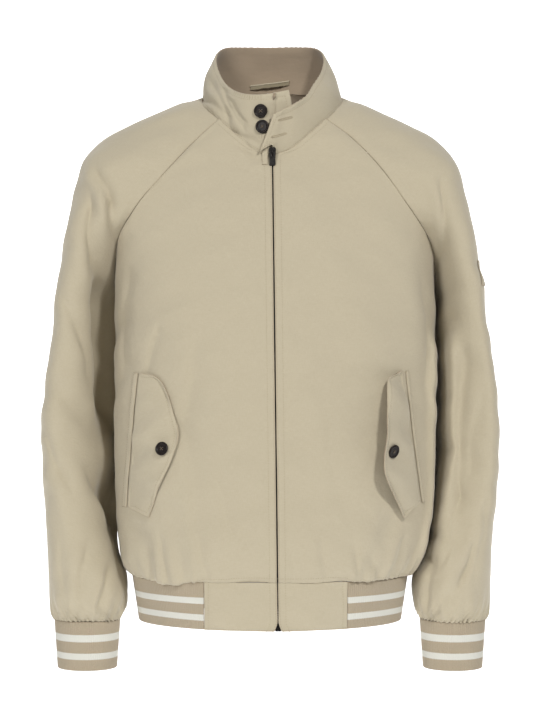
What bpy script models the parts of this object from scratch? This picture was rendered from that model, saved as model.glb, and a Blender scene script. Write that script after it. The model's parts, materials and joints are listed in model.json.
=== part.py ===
"""Zip-up bomber jacket with a buttoned stand collar, raglan sleeves and knitted rib at the waist and cuffs.

It is hollow, and filled out as a wearer would fill it. Metres, +Z up. The front faces -Y and the wearer's left is
at +X. The origin is the middle of the neck opening, level with the points where the shoulders meet the collar.
"""

import functools
import math

import bmesh
import bpy
import numpy as np
from mathutils import Matrix, Vector
from mathutils.bvhtree import BVHTree

# Cloth and seams
CLOTH = 0.0018  # wall of the shell cloth with its turned seams
FLAP_CLOTH = 0.0022  # two layers of cloth
COLLAR_WALL = 0.003
RIB_WALL = 0.0026
TAPE_WALL = 0.001
SEAM_GAP = 0.0003
INNER_SEAM_GAP = 0.0008  # on the inside, where two walls lean towards each other
LYING_GAP = 0.0004  # between a panel and what lies on it

# Levels
UNDERARM = -0.235
HEM_SEAM = -0.606
HEM_FOOT = -0.666
CUFF_SEAM = -0.663
CUFF_FOOT = -0.7255

# The closed zip: its line leans a little towards the wearer's left on its way down.
ZIP_TOP_X, ZIP_FOOT_X = 0.003, 0.010
ZIP_TOP = -0.080
FRONT_EDGE_GAP = 0.0012  # from the zip's middle to each front's edge

# The neck seam, an egg-shaped ring: its sizes, and its height at angles round it from the centre front.
NECK_HALF_WIDTH = 0.090
NECK_FRONT, NECK_BACK = 0.092, 0.068
NECK_HEIGHTS = ((0, -0.080), (15, -0.071), (27, -0.056), (48, -0.031), (70, -0.012), (90, 0.001), (115, 0.008),
                (138, 0.0125), (180, 0.018))
RAGLAN_FRONT_ANGLE, RAGLAN_BACK_ANGLE = 48, 138  # where the raglan seams meet the neck seam

# Rows of the body below the underarm: level, wearer's right side x, wearer's left side x.
SIDES = (
    (HEM_SEAM, -0.1765, 0.1765),
    (-0.592, -0.1870, 0.1885),
    (-0.565, -0.1940, 0.1990),
    (-0.514, -0.1975, 0.2075),
    (-0.400, -0.1980, 0.2110),
    (-0.300, -0.1980, 0.2120),
    (UNDERARM, -0.1970, 0.2115),
)
# The centre lines: level, y.
CENTRE_FRONT = ((HEM_SEAM, -0.128), (-0.592, -0.1355), (-0.565, -0.141), (-0.514, -0.1435), (-0.400, -0.144),
                (-0.300, -0.1425), (UNDERARM, -0.1375), (-0.195, -0.1315), (-0.160, -0.1235), (-0.130, -0.1145),
                (-0.100, -0.1025), (ZIP_TOP, -0.092))
CENTRE_BACK = ((HEM_SEAM, 0.128), (-0.592, 0.1355), (-0.565, 0.1415), (-0.514, 0.144), (-0.400, 0.143),
               (-0.300, 0.142), (UNDERARM, 0.141), (-0.160, 0.136), (-0.080, 0.122), (-0.030, 0.100), (0.018, 0.068))

# The yoke, where body and sleeves meet at the raglan seams. Each table has a row for each of nine sections, from the
# neck (0) to the underarm (8).
OVERARM = (  # distance out from the middle, height
    (0.0900, 0.0010), (0.1165, -0.0060), (0.1475, -0.0200), (0.1800, -0.0350), (0.2115, -0.0520),
    (0.2355, -0.0775), (0.2470, -0.1150), (0.2545, -0.1540), (0.2625, -0.2050),
)
FRONT_RAGLAN = (  # wearer's right x, wearer's left x, y, z
    (-0.0640, 0.0700, -0.0615, -0.0310), (-0.0884, 0.1000, -0.0760, -0.0553), (-0.1144, 0.1278, -0.0875, -0.0841),
    (-0.1383, 0.1487, -0.0930, -0.1105), (-0.1608, 0.1668, -0.0910, -0.1361), (-0.1773, 0.1840, -0.0800, -0.1598),
    (-0.1890, 0.1970, -0.0610, -0.1785), (-0.1945, 0.2070, -0.0360, -0.2010), (-0.1970, 0.2115, 0.0000, UNDERARM),
)
BACK_RAGLAN = (
    (-0.0572, 0.0632, 0.0505, 0.0125), (-0.0850, 0.0930, 0.0800, -0.0120), (-0.1120, 0.1210, 0.1000, -0.0450),
    (-0.1360, 0.1440, 0.1090, -0.0780), (-0.1580, 0.1640, 0.1070, -0.1100), (-0.1750, 0.1820, 0.0950, -0.1420),
    (-0.1880, 0.1960, 0.0720, -0.1700), (-0.1940, 0.2065, 0.0410, -0.1970), (-0.1970, 0.2115, 0.0000, UNDERARM),
)
YOKE_TURNS = (  # degrees that each section turns: sleeve front, sleeve back, body front, body back
    (60, 60, 40, 40), (62, 62, 46, 46), (76, 76, 52, 50), (90, 88, 56, 54), (101, 100, 60, 60),
    (122, 118, 69, 67), (141, 138, 78, 76), (158, 156, 85, 84), (180, 180, 90, 90),
)
YOKE_REACH = (  # depth of the sleeve before and behind its middle
    (0.090, 0.080), (0.092, 0.092), (0.093, 0.102), (0.094, 0.108), (0.094, 0.108), (0.094, 0.106), (0.093, 0.103),
    (0.090, 0.096), (0.086, 0.086),
)
FRONT_NECK_ROWS = 3  # sections 0 to 3 of a front start on the neck seam, and the others on the zip
FRONT_NECK_ANGLES = (46, 32, 17, 1)
FRONT_ZIP_LEVELS = (ZIP_TOP, -0.105, -0.134, -0.165, -0.198, UNDERARM)
BACK_LEVELS = (0.018, -0.003, -0.026, -0.052, -0.082, -0.116, -0.155, -0.195, UNDERARM)

# Rows of the sleeve below the underarm: level, outer x, wearer's right inner x, wearer's left inner x, middle y,
# depth before, depth behind, how far the front edge stands outward, how far the underarm seam lies behind the middle,
# and the oval's exponent on the wearer's right and left.
ARM = (
    (UNDERARM, 0.2625, 0.1970, 0.2115, 0.000, 0.086, 0.086, 0.010, 0.000, 2.1, 2.1),
    (-0.252, 0.2655, 0.1990, 0.2138, 0.000, 0.084, 0.085, 0.012, 0.007, 2.1, 2.2),
    (-0.280, 0.2690, 0.2000, 0.2140, 0.000, 0.082, 0.084, 0.013, 0.014, 2.2, 2.4),
    (-0.325, 0.2760, 0.2000, 0.2140, -0.001, 0.079, 0.081, 0.013, 0.025, 2.2, 2.7),
    (-0.375, 0.2838, 0.2000, 0.2135, -0.003, 0.075, 0.078, 0.012, 0.033, 2.2, 2.8),
    (-0.430, 0.2875, 0.2000, 0.2125, -0.005, 0.071, 0.074, 0.010, 0.037, 2.2, 2.8),
    (-0.490, 0.2868, 0.1995, 0.2105, -0.007, 0.067, 0.070, 0.007, 0.037, 2.2, 2.8),
    (-0.540, 0.2845, 0.1985, 0.2055, -0.009, 0.065, 0.067, 0.004, 0.033, 2.2, 2.6),
    (-0.580, 0.2830, 0.1943, 0.1975, -0.011, 0.063, 0.065, 0.002, 0.020, 2.1, 2.3),
    (-0.612, 0.2820, 0.1830, 0.1830, -0.013, 0.061, 0.062, 0.000, 0.010, 2.1, 2.1),
    (-0.638, 0.2800, 0.1830, 0.1825, -0.014, 0.057, 0.057, 0.000, 0.004, 2.1, 2.1),
    (-0.652, 0.2775, 0.1862, 0.1855, -0.015, 0.050, 0.050, 0.000, 0.001, 2.0, 2.0),
    (CUFF_SEAM, 0.2750, 0.1910, 0.1910, -0.015, 0.042, 0.042, 0.000, 0.000, 2.0, 2.0),
)
LEFT_SLEEVE_IN = 0.002  # the outside of the wearer's left sleeve is this much further in than the right's
ARM_LIFT = 0.030  # the overarm's height above the underarm at the armhole, gone two sections down

BODY_ROUNDING = 2.45  # exponent of the body's oval: 2 is an ellipse, and more is squarer
SLEEVE_ROUNDING = 2.1
CUFF_ROUNDING = 2.0

# Ribbed pieces
HEM_FOOT_HALF_WIDTH, HEM_FOOT_FRONT, HEM_FOOT_BACK = 0.168, 0.1255, 0.126
HEM_FOOT_ROUNDING = 1.95
HEM_PANEL_END_RIGHT, HEM_PANEL_END_LEFT = -0.0815, 0.0957  # x where the plain hem panels meet the rib
CUFF_FOOT_HALF_WIDTH, CUFF_FOOT_HALF_DEPTH = 0.0378, 0.0385
WAIST_RIBS, CUFF_RIBS = 150, 56
WAIST_COLUMNS, CUFF_COLUMNS = 100, 28  # of their plain insides
RING_POINTS = 361  # of the fine ovals that ribbed bands are spaced along
RIB_RELIEF = 0.0005

# Gathers above the rib: their number, their depth, and how far above the seam they are deepest and end.
FRONT_GATHERS, BACK_GATHERS, SLEEVE_GATHERS = 11, 30, 9
GATHER_DEPTH = 0.0017
GATHER_PEAK, GATHER_END = 0.008, 0.046
GATHER_HEIGHTS = (0.0, 0.006, 0.014, 0.026)
POINTS_PER_GATHER = 3
GATHERS_FROM, GATHERS_GROW = 0.07, 0.03  # in front they start this far from the zip, and grow over this much

# Columns of points across a panel
FRONT_COLUMNS, BACK_COLUMNS, SLEEVE_COLUMNS = 9, 9, 7
BODY_LEVELS = (-0.56, -0.51, -0.45, -0.39, -0.33, -0.28, UNDERARM)
ARM_LEVELS = (UNDERARM, -0.252, -0.28, -0.32, -0.36, -0.40, -0.44, -0.48, -0.52, -0.56, -0.595, -0.618)

# Largest folds of the front half of each sleeve and of the body: top x, top z, foot x, foot z, width, depth.
SLEEVE_FOLDS = (
    (-0.268, -0.368, -0.208, -0.430, 0.014, 0.0050),
    (-0.288, -0.452, -0.262, -0.478, 0.011, 0.0040),
    (-0.283, -0.498, -0.266, -0.548, 0.012, 0.0035),
    (-0.243, -0.105, -0.222, -0.150, 0.015, 0.0045),
    (0.238, -0.332, 0.223, -0.445, 0.017, 0.0050),
    (0.225, -0.445, 0.226, -0.505, 0.015, 0.0045),
    (0.215, -0.560, 0.205, -0.605, 0.012, 0.0060),
    (0.246, -0.590, 0.226, -0.628, 0.010, 0.0035),
)
BODY_FOLDS = (
    (-0.170, -0.545, -0.150, -0.585, 0.014, 0.0050),
    (-0.118, -0.520, -0.108, -0.585, 0.013, 0.0030),
    (0.150, -0.535, 0.130, -0.585, 0.014, 0.0045),
)

# Collar stations from the wearer's right end, whose tab runs on past the zip, to the wearer's left end.
# Each free end: foot x, foot y, foot z, top x, top y, top z.
TAB_END = (
    (0.0282, -0.0915, -0.0225, 0.0240, -0.0935, 0.0008),
    (0.0190, -0.0940, -0.0262, 0.0165, -0.0960, -0.0010),
    (0.0095, -0.0950, -0.0320, 0.0090, -0.0978, -0.0028),
    (0.0072, -0.0900, -0.0420, 0.0065, -0.0988, -0.0034),
    (0.0050, -0.0872, -0.0740, 0.0040, -0.0992, -0.0042),
)
LEFT_END = (
    (0.0030, -0.0975, -0.0668, 0.0150, -0.1062, -0.0262),
    (-0.0045, -0.0995, -0.0700, 0.0100, -0.1072, -0.0288),
    (-0.0124, -0.1010, -0.0755, 0.0049, -0.1082, -0.0311),
)
# Top edge of the collar: angle round the neck, x, y, z. The front of each side has its own rows.
COLLAR_TOP_RIGHT = (
    (1, -0.0030, -0.0998, -0.0050), (8, -0.0124, -0.0985, -0.0058), (22, -0.0325, -0.0880, -0.0032),
    (38, -0.0490, -0.0690, 0.0058), (55, -0.0605, -0.0455, 0.0205), (75, -0.0692, -0.0150, 0.0455),
    (95, -0.0690, 0.0080, 0.0605), (120, -0.0600, 0.0330, 0.0715), (150, -0.0370, 0.0510, 0.0755),
    (180, 0.0, 0.0570, 0.0760),
)
COLLAR_TOP_LEFT = (
    (1, 0.0185, -0.1045, -0.0245), (17, 0.0310, -0.0975, -0.0172), (32, 0.0456, -0.0800, -0.0048),
    (46, 0.0545, -0.0590, 0.0118), (60, 0.0645, -0.0360, 0.0290), (75, 0.0692, -0.0150, 0.0440),
    (95, 0.0690, 0.0080, 0.0600), (120, 0.0600, 0.0330, 0.0715), (150, 0.0370, 0.0510, 0.0755),
    (180, 0.0, 0.0570, 0.0760),
)
COLLAR_ROWS = 5
COLLAR_BOW = 0.003  # how far the collar's wall bows out between its edges, away from the front
COLLAR_FLAT_ANGLE = 40  # nearer the centre front than this the bow fades, as the ends lie on each other
COLLAR_LIFT = 0.0005  # the collar's foot above the neck seam

# Slanted pockets. A row for each section from the top: hinge x, hinge z, outer x, outer z, how far the outer edge
# stands off the front. The wearer's left flap stands away from the body.
POCKETS = {
    "right": (
        (-0.1617, -0.3500, -0.1440, -0.3530, 0.001), (-0.1635, -0.3620, -0.1325, -0.3630, 0.001),
        (-0.1665, -0.3920, -0.1198, -0.3930, 0.002), (-0.1690, -0.4210, -0.1123, -0.4220, 0.003),
        (-0.1714, -0.4480, -0.1173, -0.4490, 0.003), (-0.1740, -0.4740, -0.1285, -0.4750, 0.002),
        (-0.1762, -0.5000, -0.1400, -0.5007, 0.001), (-0.1776, -0.5175, -0.1500, -0.5282, 0.001),
    ),
    "left": (
        (0.1642, -0.3476, 0.1560, -0.3505, 0.003), (0.1655, -0.3620, 0.1430, -0.3600, 0.012),
        (0.1690, -0.3920, 0.1425, -0.3895, 0.024), (0.1725, -0.4210, 0.1434, -0.4205, 0.030),
        (0.1762, -0.4480, 0.1397, -0.4510, 0.030), (0.1800, -0.4740, 0.1405, -0.4720, 0.026),
        (0.1838, -0.5000, 0.1531, -0.5000, 0.016), (0.1857, -0.5116, 0.1666, -0.5290, 0.006),
    ),
}
FLAP_COLUMNS = 6
WELT_FROM = {"right": 0.0005, "left": 0.0026}  # from the flap's hinge to the welt
WELT_TO, WELT_WALL = 0.0066, 0.0012

# Buttons: radius, thickness, and x and z of their middles.
BUTTON_RADIUS, BUTTON_THICKNESS = 0.0085, 0.003
BUTTON_SIDES = 20
BUTTON_PROFILE = ((0, 0.6), (0.62, 0.62), (0.82, 1), (1, 0.72), (1, 0.3), (0.75, 0), (0, 0))  # shares of those
FLAP_BUTTONS = {"right": (-0.1314, -0.4424), "left": (0.1495, -0.4448)}
COLLAR_BUTTONS = {"upper": (-0.0112, -0.0262), "lower": (-0.0092, -0.0455)}

# Zip. Its chain and tapes lie behind the fronts and its slider in front of them.
ZIP_DEPTH = 0.0027  # from the outside of the fronts to the chain
CHAIN_HALF_WIDTH, CHAIN_WALL = 0.0025, 0.002
TAPE_WIDTH = 0.012
CHAIN_TOP, TAPE_TOP, CHAIN_FOOT = -0.0865, -0.0825, -0.6525
SLIDER_LEVEL, SLIDER_BACK, SLIDER_PLATE = -0.0775, -0.0968, 0.0016  # pull's axis z, back of the plate y, its wall
SLIDER_OUTLINE = ((-0.0040, 0.0036), (-0.0026, 0.0062), (0.0026, 0.0062), (0.0040, 0.0036), (0.0034, -0.0066),
                  (0.0024, -0.0078), (-0.0024, -0.0078), (-0.0034, -0.0066))
SLIDER_NECK = (0.0015, 0.0060, 0.0040, -0.0050)  # width, depth, height, its middle below the axis
SUNK = 0.0003  # how deep joined parts of the slider enter each other
PIVOT_STANDOFF = 0.0010  # from the plate to the middle of the pull's bar
BRIDGE_HALF_WIDTH, BRIDGE_HEIGHT, BRIDGE_HALF_LENGTH = 0.0007, 0.0030, 0.0032
BRIDGE_BEAM, BRIDGE_CORNER = 0.0010, 0.0004
PULL_HALF_WIDTH, PULL_WALL, PULL_LENGTH, PULL_CORNER = 0.0036, 0.0011, 0.0165, 0.0009
PULL_EYE_HALF_WIDTH, PULL_EYE_LENGTH = 0.0013, 0.0044
PULL_LEAN = 5  # degrees that the pull hangs away from upright, along the front
BOX_HALF_WIDTH, BOX_HEIGHT, BOX_WALL = 0.0034, 0.012, 0.0032
ZIP_NOTCH_HEIGHT, ZIP_NOTCH = 0.012, 0.004  # the notch between the hem panels at the foot of the zip

# The bare patch on the wearer's left sleeve: degrees round the sleeve from the front, about a middle.
PATCH_LEVELS = (-0.209, -0.219, -0.230, -0.241)
PATCH_MIDDLE = 0.2385
PATCH_ANGLES = (17.5, 23.0, 29.0, 35.5)
PATCH_WALL = 0.001
# The hanger loop inside the back of the neck.
LOOP_ENDS = ((-0.0265, 0.0232), (0.0255, 0.0300))  # x and z of its ends
LOOP_WIDTH, LOOP_WALL, LOOP_SLACK = 0.006, 0.0016, 0.005

COLOURS = {  # colour, roughness, metallic
    "cotton": ((0.53, 0.46, 0.33), 0.85, 0.0),
    "rib_knit": ((0.44, 0.36, 0.25), 0.95, 0.0),
    "button_horn": ((0.025, 0.018, 0.018), 0.35, 0.0),
    "zip_metal": ((0.05, 0.05, 0.055), 0.35, 0.9),
    "zip_tape": ((0.30, 0.26, 0.19), 0.9, 0.0),
}


# ---------------------------------------------------------------------------------------------- curves and ovals


def through(table, at, column=1):
    """The value at `at` on a smooth curve through a table's columns: column 0 is the place along it."""
    rows = np.array(sorted(table), float)
    places, values = rows[:, 0], rows[:, column]
    slopes = np.gradient(values, places)
    i = np.clip(np.searchsorted(places, at, side="right") - 1, 0, len(places) - 2)
    step = places[i + 1] - places[i]
    t = (np.asarray(at) - places[i]) / step
    return (
        (1 + 2 * t) * (1 - t) ** 2 * values[i]
        + t * (1 - t) ** 2 * step * slopes[i]
        + t * t * (3 - 2 * t) * values[i + 1]
        + t * t * (t - 1) * step * slopes[i + 1]
    )


def by_section(table, section, column):
    """The same for a table whose rows are numbered sections."""
    return through([(i, row[column]) for i, row in enumerate(table)], section)


def unit(vectors):
    vectors = np.asarray(vectors, float)
    return vectors / np.maximum(np.linalg.norm(vectors, axis=-1, keepdims=True), 1e-12)


def evenly(points, shares, values=None):
    """Points at the given shares of a line's length, or the values that go with its points there."""
    along = np.concatenate([[0], np.cumsum(np.linalg.norm(np.diff(points, axis=0), axis=1))])
    values = points if values is None else values
    return np.stack(
        [np.interp(np.asarray(shares) * along[-1], along, values[:, k]) for k in range(3)], axis=1
    )


def oval(angle, rounding):
    """How far an oval has run sideways and fallen back at an angle from its foremost point, for radii of 1."""
    across, down = np.sin(angle), np.cos(angle)
    power = 2 / rounding
    return np.sign(across) * np.abs(across) ** power, 1 - np.sign(down) * np.abs(down) ** power


def arc(start, end, reach, turn, rounding, shares):
    """Even points from start to end on part of an oval that turns by `turn` degrees and sets off along `reach`."""
    start, end, reach = (np.asarray(p, float) for p in (start, end, reach))
    run, fall = oval(np.radians(turn) * np.linspace(0, 1, 49), rounding)
    inward = (run[-1] * reach - (end - start)) / fall[-1]
    return evenly(start - fall[:, None] * inward + run[:, None] * reach, shares)


def neck(angles):
    """Points of the neck seam at angles from the centre front, positive towards the wearer's left."""
    angles = np.atleast_1d(np.asarray(angles, float))
    across, down = np.sin(np.radians(angles)), np.cos(np.radians(angles))
    y = np.where(down > 0, -NECK_FRONT * down, -NECK_BACK * down)
    return np.stack([ZIP_TOP_X + NECK_HALF_WIDTH * across, y, through(NECK_HEIGHTS, np.abs(angles))], axis=1)


def zip_x(z):
    share = (ZIP_TOP - z) / (ZIP_TOP - HEM_FOOT)
    return ZIP_TOP_X + (ZIP_FOOT_X - ZIP_TOP_X) * share


# ------------------------------------------------------------------------------------------- surfaces of the panels
# A panel is a surface of rows. Row numbers of the body run from 0 at the hem seam to 1 at the underarm and 2 at the
# neck, and those of a sleeve from 0 at the neck to 1 at the underarm and 2 at the cuff. side is -1 for the wearer's
# right and 1 for the left.


def body_row(side, half, row, shares):
    """Points of one row of a front or of half the back, from the centre line out to the side or raglan seam."""
    lines = CENTRE_FRONT if half == "front" else CENTRE_BACK
    if row <= 1:
        z = HEM_SEAM + row * (UNDERARM - HEM_SEAM)
        centre = [zip_x(z) + side * FRONT_EDGE_GAP if half == "front" else 0.0, through(lines, z), z]
        out = through(SIDES, z, 1 if side < 0 else 2)
        return arc(centre, (out, 0.0, z), (out - centre[0], 0, 0), 90, BODY_ROUNDING, shares)
    section = 8 * (2 - row)
    seam = FRONT_RAGLAN if half == "front" else BACK_RAGLAN
    end = np.array([by_section(seam, section, k) for k in (0 if side < 0 else 1, 2, 3)])
    if half == "back":
        z = by_section([(level,) for level in BACK_LEVELS], section, 0)
        start = np.array([0.0, through(lines, z), z])
    elif section > FRONT_NECK_ROWS:
        z = by_section([(level,) for level in FRONT_ZIP_LEVELS], section - FRONT_NECK_ROWS, 0)
        start = np.array([zip_x(z) + side * FRONT_EDGE_GAP, through(lines, z), z])
    else:
        start = neck(side * by_section([(a,) for a in FRONT_NECK_ANGLES], section, 0))[0]
    turn = by_section(YOKE_TURNS, section, 2 if half == "front" else 3)
    run = oval(math.radians(turn), BODY_ROUNDING)[0]
    points = arc(start, end, ((end[0] - start[0]) / run, 0, 0), turn, BODY_ROUNDING, shares)
    angles = (FRONT_NECK_ANGLES[0], RAGLAN_FRONT_ANGLE) if half == "front" else (180, RAGLAN_BACK_ANGLE)
    return points + to_neck(side, angles, section, shares, lambda: body_row_end(side, half, shares))


def body_row_end(side, half, shares):
    """The last row as the oval gives it, before it is laid on the neck seam."""
    seam, turn = (FRONT_RAGLAN, YOKE_TURNS[0][2]) if half == "front" else (BACK_RAGLAN, YOKE_TURNS[0][3])
    end = np.array([seam[0][0 if side < 0 else 1], *seam[0][2:]])
    start = (
        neck(side * FRONT_NECK_ANGLES[0])[0] if half == "front" else
        np.array([0.0, through(CENTRE_BACK, BACK_LEVELS[0]), BACK_LEVELS[0]])
    )
    run = oval(math.radians(turn), BODY_ROUNDING)[0]
    return arc(start, end, ((end[0] - start[0]) / run, 0, 0), turn, BODY_ROUNDING, shares)


def to_neck(side, angles, section, shares, last_row):
    """What moves the rows next to the neck so that the last one lies on the neck seam."""
    if section >= 1:
        return 0.0
    on_seam = neck(side * (angles[0] + (angles[1] - angles[0]) * np.asarray(shares)))
    fade = (1 - section) ** 2 * (1 + 2 * section)
    return fade * (on_seam - last_row())


def sleeve_row(side, half, row, shares):
    """Points of one row of a sleeve's front or back, from the overarm seam to the raglan or underarm seam."""
    forward = -1 if half == "front" else 1
    if row > 1:
        z = UNDERARM + (row - 1) * (CUFF_SEAM - UNDERARM)
        out, mid, lean = (through(ARM, z, k) for k in (1, 4, 7))
        out -= LEFT_SLEEVE_IN * min(1, (z - CUFF_SEAM) / 0.1) if side > 0 else 0
        inner = through(ARM, z, 2 if side < 0 else 3)
        set_back = through(ARM, z, 8)
        depth = through(ARM, z, 5 if half == "front" else 6) - forward * set_back / 2
        lift = ARM_LIFT * max(0.0, 1 - (row - 1) * 5) ** 2
        start, end = (side * out, mid, z + lift), (side * inner, mid + set_back, z)
        reach = (-forward * side * lean, forward * depth, 0)
        return arc(start, end, reach, 180, through(ARM, z, 9 if side < 0 else 10), shares)
    section = 8 * row
    return sleeve_yoke_row(side, half, section, shares) + to_neck(
        side,
        (90, RAGLAN_FRONT_ANGLE if half == "front" else RAGLAN_BACK_ANGLE),
        section,
        shares,
        lambda: sleeve_yoke_row(side, half, 0, shares),
    )


def sleeve_yoke_row(side, half, section, shares):
    forward, column = (-1, 0) if half == "front" else (1, 1)
    out = by_section(OVERARM, section, 0) - (LEFT_SLEEVE_IN * min(1, section / 3) if side > 0 else 0)
    start = (side * out, 0.0, by_section(OVERARM, section, 1))
    seam = FRONT_RAGLAN if half == "front" else BACK_RAGLAN
    end = [by_section(seam, section, k) for k in (0 if side < 0 else 1, 2, 3)]
    turn = by_section(YOKE_TURNS, section, column)
    lean = ARM[0][7] * section / 8
    reach = (-forward * side * lean, forward * by_section(YOKE_REACH, section, column), 0)
    return arc(start, end, reach, turn, SLEEVE_ROUNDING, shares)


def normals_of(row_at, row, shares, outward):
    """Unit normals of a surface of rows, on the side that `outward` points to in the row's middle.

    Where a row runs along the seam that the rows start from, they are the same as at its end.
    """
    near, wide, too_flat = 0.004, 0.01, 0.3
    low, high = max(row - near, 0.0), min(row + near, 2.0)
    up = row_at(high, shares) - row_at(low, shares)
    left, right = np.clip(np.asarray(shares) - wide, 0, 1), np.clip(np.asarray(shares) + wide, 0, 1)
    along = row_at(row, right) - row_at(row, left)
    found = np.cross(unit(along), unit(up))
    found[np.linalg.norm(found, axis=1) < too_flat] = found[-1]
    found = unit(found)
    middle = len(found) // 2
    return found * (1 if found[middle] @ outward > 0 else -1)


def trough(points, folds):
    """How deep each point lies in the listed folds, which are straight on the view from the front."""
    depth = np.zeros(len(points))
    flat = points[:, [0, 2]]
    for top_x, top_z, foot_x, foot_z, width, deep in folds:
        top, line = np.array([top_x, top_z]), np.array([foot_x - top_x, foot_z - top_z])
        share = ((flat - top) @ line) / (line @ line)
        off = np.linalg.norm(flat - top - np.clip(share, 0, 1)[:, None] * line, axis=1)
        depth += deep * np.exp(-((off / width) ** 2))
    return depth


def gathers(shares, count, height, plain):
    """Relief of the gathers at a height above the rib's seam: uneven waves, none at the seam itself.

    plain asks for the even inside, which stays clear of their troughs.
    """
    if height >= GATHER_END:
        return np.zeros(len(shares))
    if plain:
        return np.full(len(shares), -GATHER_DEPTH * float(height > 0))
    rise = math.sin(0.5 * math.pi * min(1.0, height / GATHER_PEAK))
    fade = 1 - max(0.0, height - GATHER_PEAK) / (GATHER_END - GATHER_PEAK)
    phase = 2 * math.pi * count * np.asarray(shares)
    return GATHER_DEPTH * rise * fade * (np.sin(phase) + 0.45 * np.sin(0.37 * phase + 1.1)) / 1.3


# ------------------------------------------------------------------------------------------------ meshes and objects


def material(name):
    if name in bpy.data.materials:
        return bpy.data.materials[name]
    made = bpy.data.materials.new(name)
    made.use_nodes = True
    colour, roughness, metallic = COLOURS[name]
    shader = made.node_tree.nodes["Principled BSDF"]
    shader.inputs["Base Color"].default_value = (*colour, 1)
    shader.inputs["Roughness"].default_value = roughness
    shader.inputs["Metallic"].default_value = metallic
    return made


def link_mesh(name, mesh, finish, smooth=True):
    """A mesh object in the jacket's collection, with doubled points merged and faces turned outward."""
    work = bmesh.new()
    work.from_mesh(mesh)
    bmesh.ops.remove_doubles(work, verts=work.verts, dist=1e-6)
    bmesh.ops.recalc_face_normals(work, faces=work.faces)
    work.to_mesh(mesh)
    work.free()
    if smooth:
        mesh.shade_smooth()
        mesh.set_sharp_from_angle(angle=math.radians(50))
    mesh.materials.clear()
    mesh.materials.append(material(finish))
    made = bpy.data.objects.new(name, mesh)
    bpy.data.collections["bomber_jacket"].objects.link(made)
    return made


def strip(low, high):
    """Triangles between two rows of point numbers, which may differ in length."""
    faces, i, j = [], 0, 0
    while i < len(low) - 1 or j < len(high) - 1:
        step_low = j == len(high) - 1 or (i + 1) * (len(high) - 1) <= (j + 1) * (len(low) - 1)
        if step_low and i < len(low) - 1:
            faces.append((low[i], low[i + 1], high[j]))
            i += 1
        else:
            faces.append((low[i], high[j + 1], high[j]))
            j += 1
    return faces


def wall(name, outer, inner, finish, closed=False):
    """A closed wall between two lists of rows. closed says that each row runs right round to its start."""
    points, faces, numbers = [], [], []
    for rows in (outer, inner):
        numbers.append([])
        for row in rows:
            numbers[-1].append(list(range(len(points), len(points) + len(row))))
            points += list(row)
    for skin in numbers:
        for low, high in zip(skin, skin[1:]):
            faces += strip(low, high)
    for end in (0, -1):
        faces += strip(numbers[0][end], numbers[1][end])
    if not closed:
        for end in (0, -1):
            faces += strip([row[end] for row in numbers[0]], [row[end] for row in numbers[1]])
    mesh = bpy.data.meshes.new(name)
    mesh.from_pydata([tuple(map(float, p)) for p in points], [], faces)
    return link_mesh(name, mesh, finish)


def draw_back(rows, normals, edges, by):
    """Rows whose named edges are moved back from their seams, along the cloth and into its wall."""
    moved = [row.copy() for row in rows]
    for edge, wanted in (("start", 0), ("end", -1)):
        if edge in edges:
            beside = 1 if wanted == 0 else -2
            for row, new, normal in zip(rows, moved, normals):
                new[wanted] += by * (unit(row[beside] - row[wanted]) - normal[wanted])
    for edge, wanted in (("first", 0), ("last", -1)):
        if edge in edges:
            beside = rows[1 if wanted == 0 else -2]
            near = evenly(beside, np.linspace(0, 1, len(rows[wanted])))
            moved[wanted] += by * (unit(near - rows[wanted]) - normals[wanted])
    return moved


# ----------------------------------------------------------------------------------------------------- cloth panels


class Panel:
    """One cut piece of cloth: rows of points with normals, the outer skin finer than the plain inner one."""

    def __init__(self, row_at, rows, columns, outward, relief, counts):
        self.outer, self.outer_normals, self.inner, self.inner_normals = [], [], [], []
        for number, row in enumerate(rows):
            fine = np.linspace(0, 1, counts[number] + 1)
            plain = np.linspace(0, 1, min(columns, counts[number]) + 1)
            for shares, points, normals in (
                (fine, self.outer, self.outer_normals),
                (plain, self.inner, self.inner_normals),
            ):
                even = row_at(row, shares)
                normals.append(normals_of(row_at, row, shares, outward))
                points.append(even + relief(row, shares, even, points is self.inner)[:, None] * normals[-1])

    def share_normals(self, end, rows, other, other_end, other_rows):
        """Gives both panels of a seam one normal at each shared point, where the cloth doesn't fold back sharply."""
        folded_back = 0.2
        for mine, theirs in zip(rows, other_rows):
            for a, b in (
                (self.outer_normals, other.outer_normals), (self.inner_normals, other.inner_normals)
            ):
                first, second = a[mine][end].copy(), b[theirs][other_end].copy()
                if first @ second > folded_back:
                    a[mine][end] = b[theirs][other_end] = unit(first + second)

    def build(self, name, edges, thickness=CLOTH, finish="cotton"):
        outer = draw_back(self.outer, self.outer_normals, edges, SEAM_GAP / 2)
        inner = draw_back(self.inner, self.inner_normals, edges, INNER_SEAM_GAP / 2)
        inner = [row - thickness * normal for row, normal in zip(inner, self.inner_normals)]
        return wall(name, outer, inner, finish)


def body_rows():
    """Row numbers of the body panels, and how high each lies above the hem seam while that is under the gathers."""
    low = [height / (UNDERARM - HEM_SEAM) for height in GATHER_HEIGHTS]
    levels = [(z - HEM_SEAM) / (UNDERARM - HEM_SEAM) for z in BODY_LEVELS]
    return low + levels + [1 + k / 8 for k in range(1, 9)]


def sleeve_rows():
    """Row numbers of the sleeve panels, from the neck down to the cuff seam."""
    drop = UNDERARM - CUFF_SEAM
    levels = [1 + (UNDERARM - z) / drop for z in ARM_LEVELS]
    low = [2 - height / drop for height in reversed(GATHER_HEIGHTS)]
    return [k / 8 for k in range(8)] + levels + low


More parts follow.
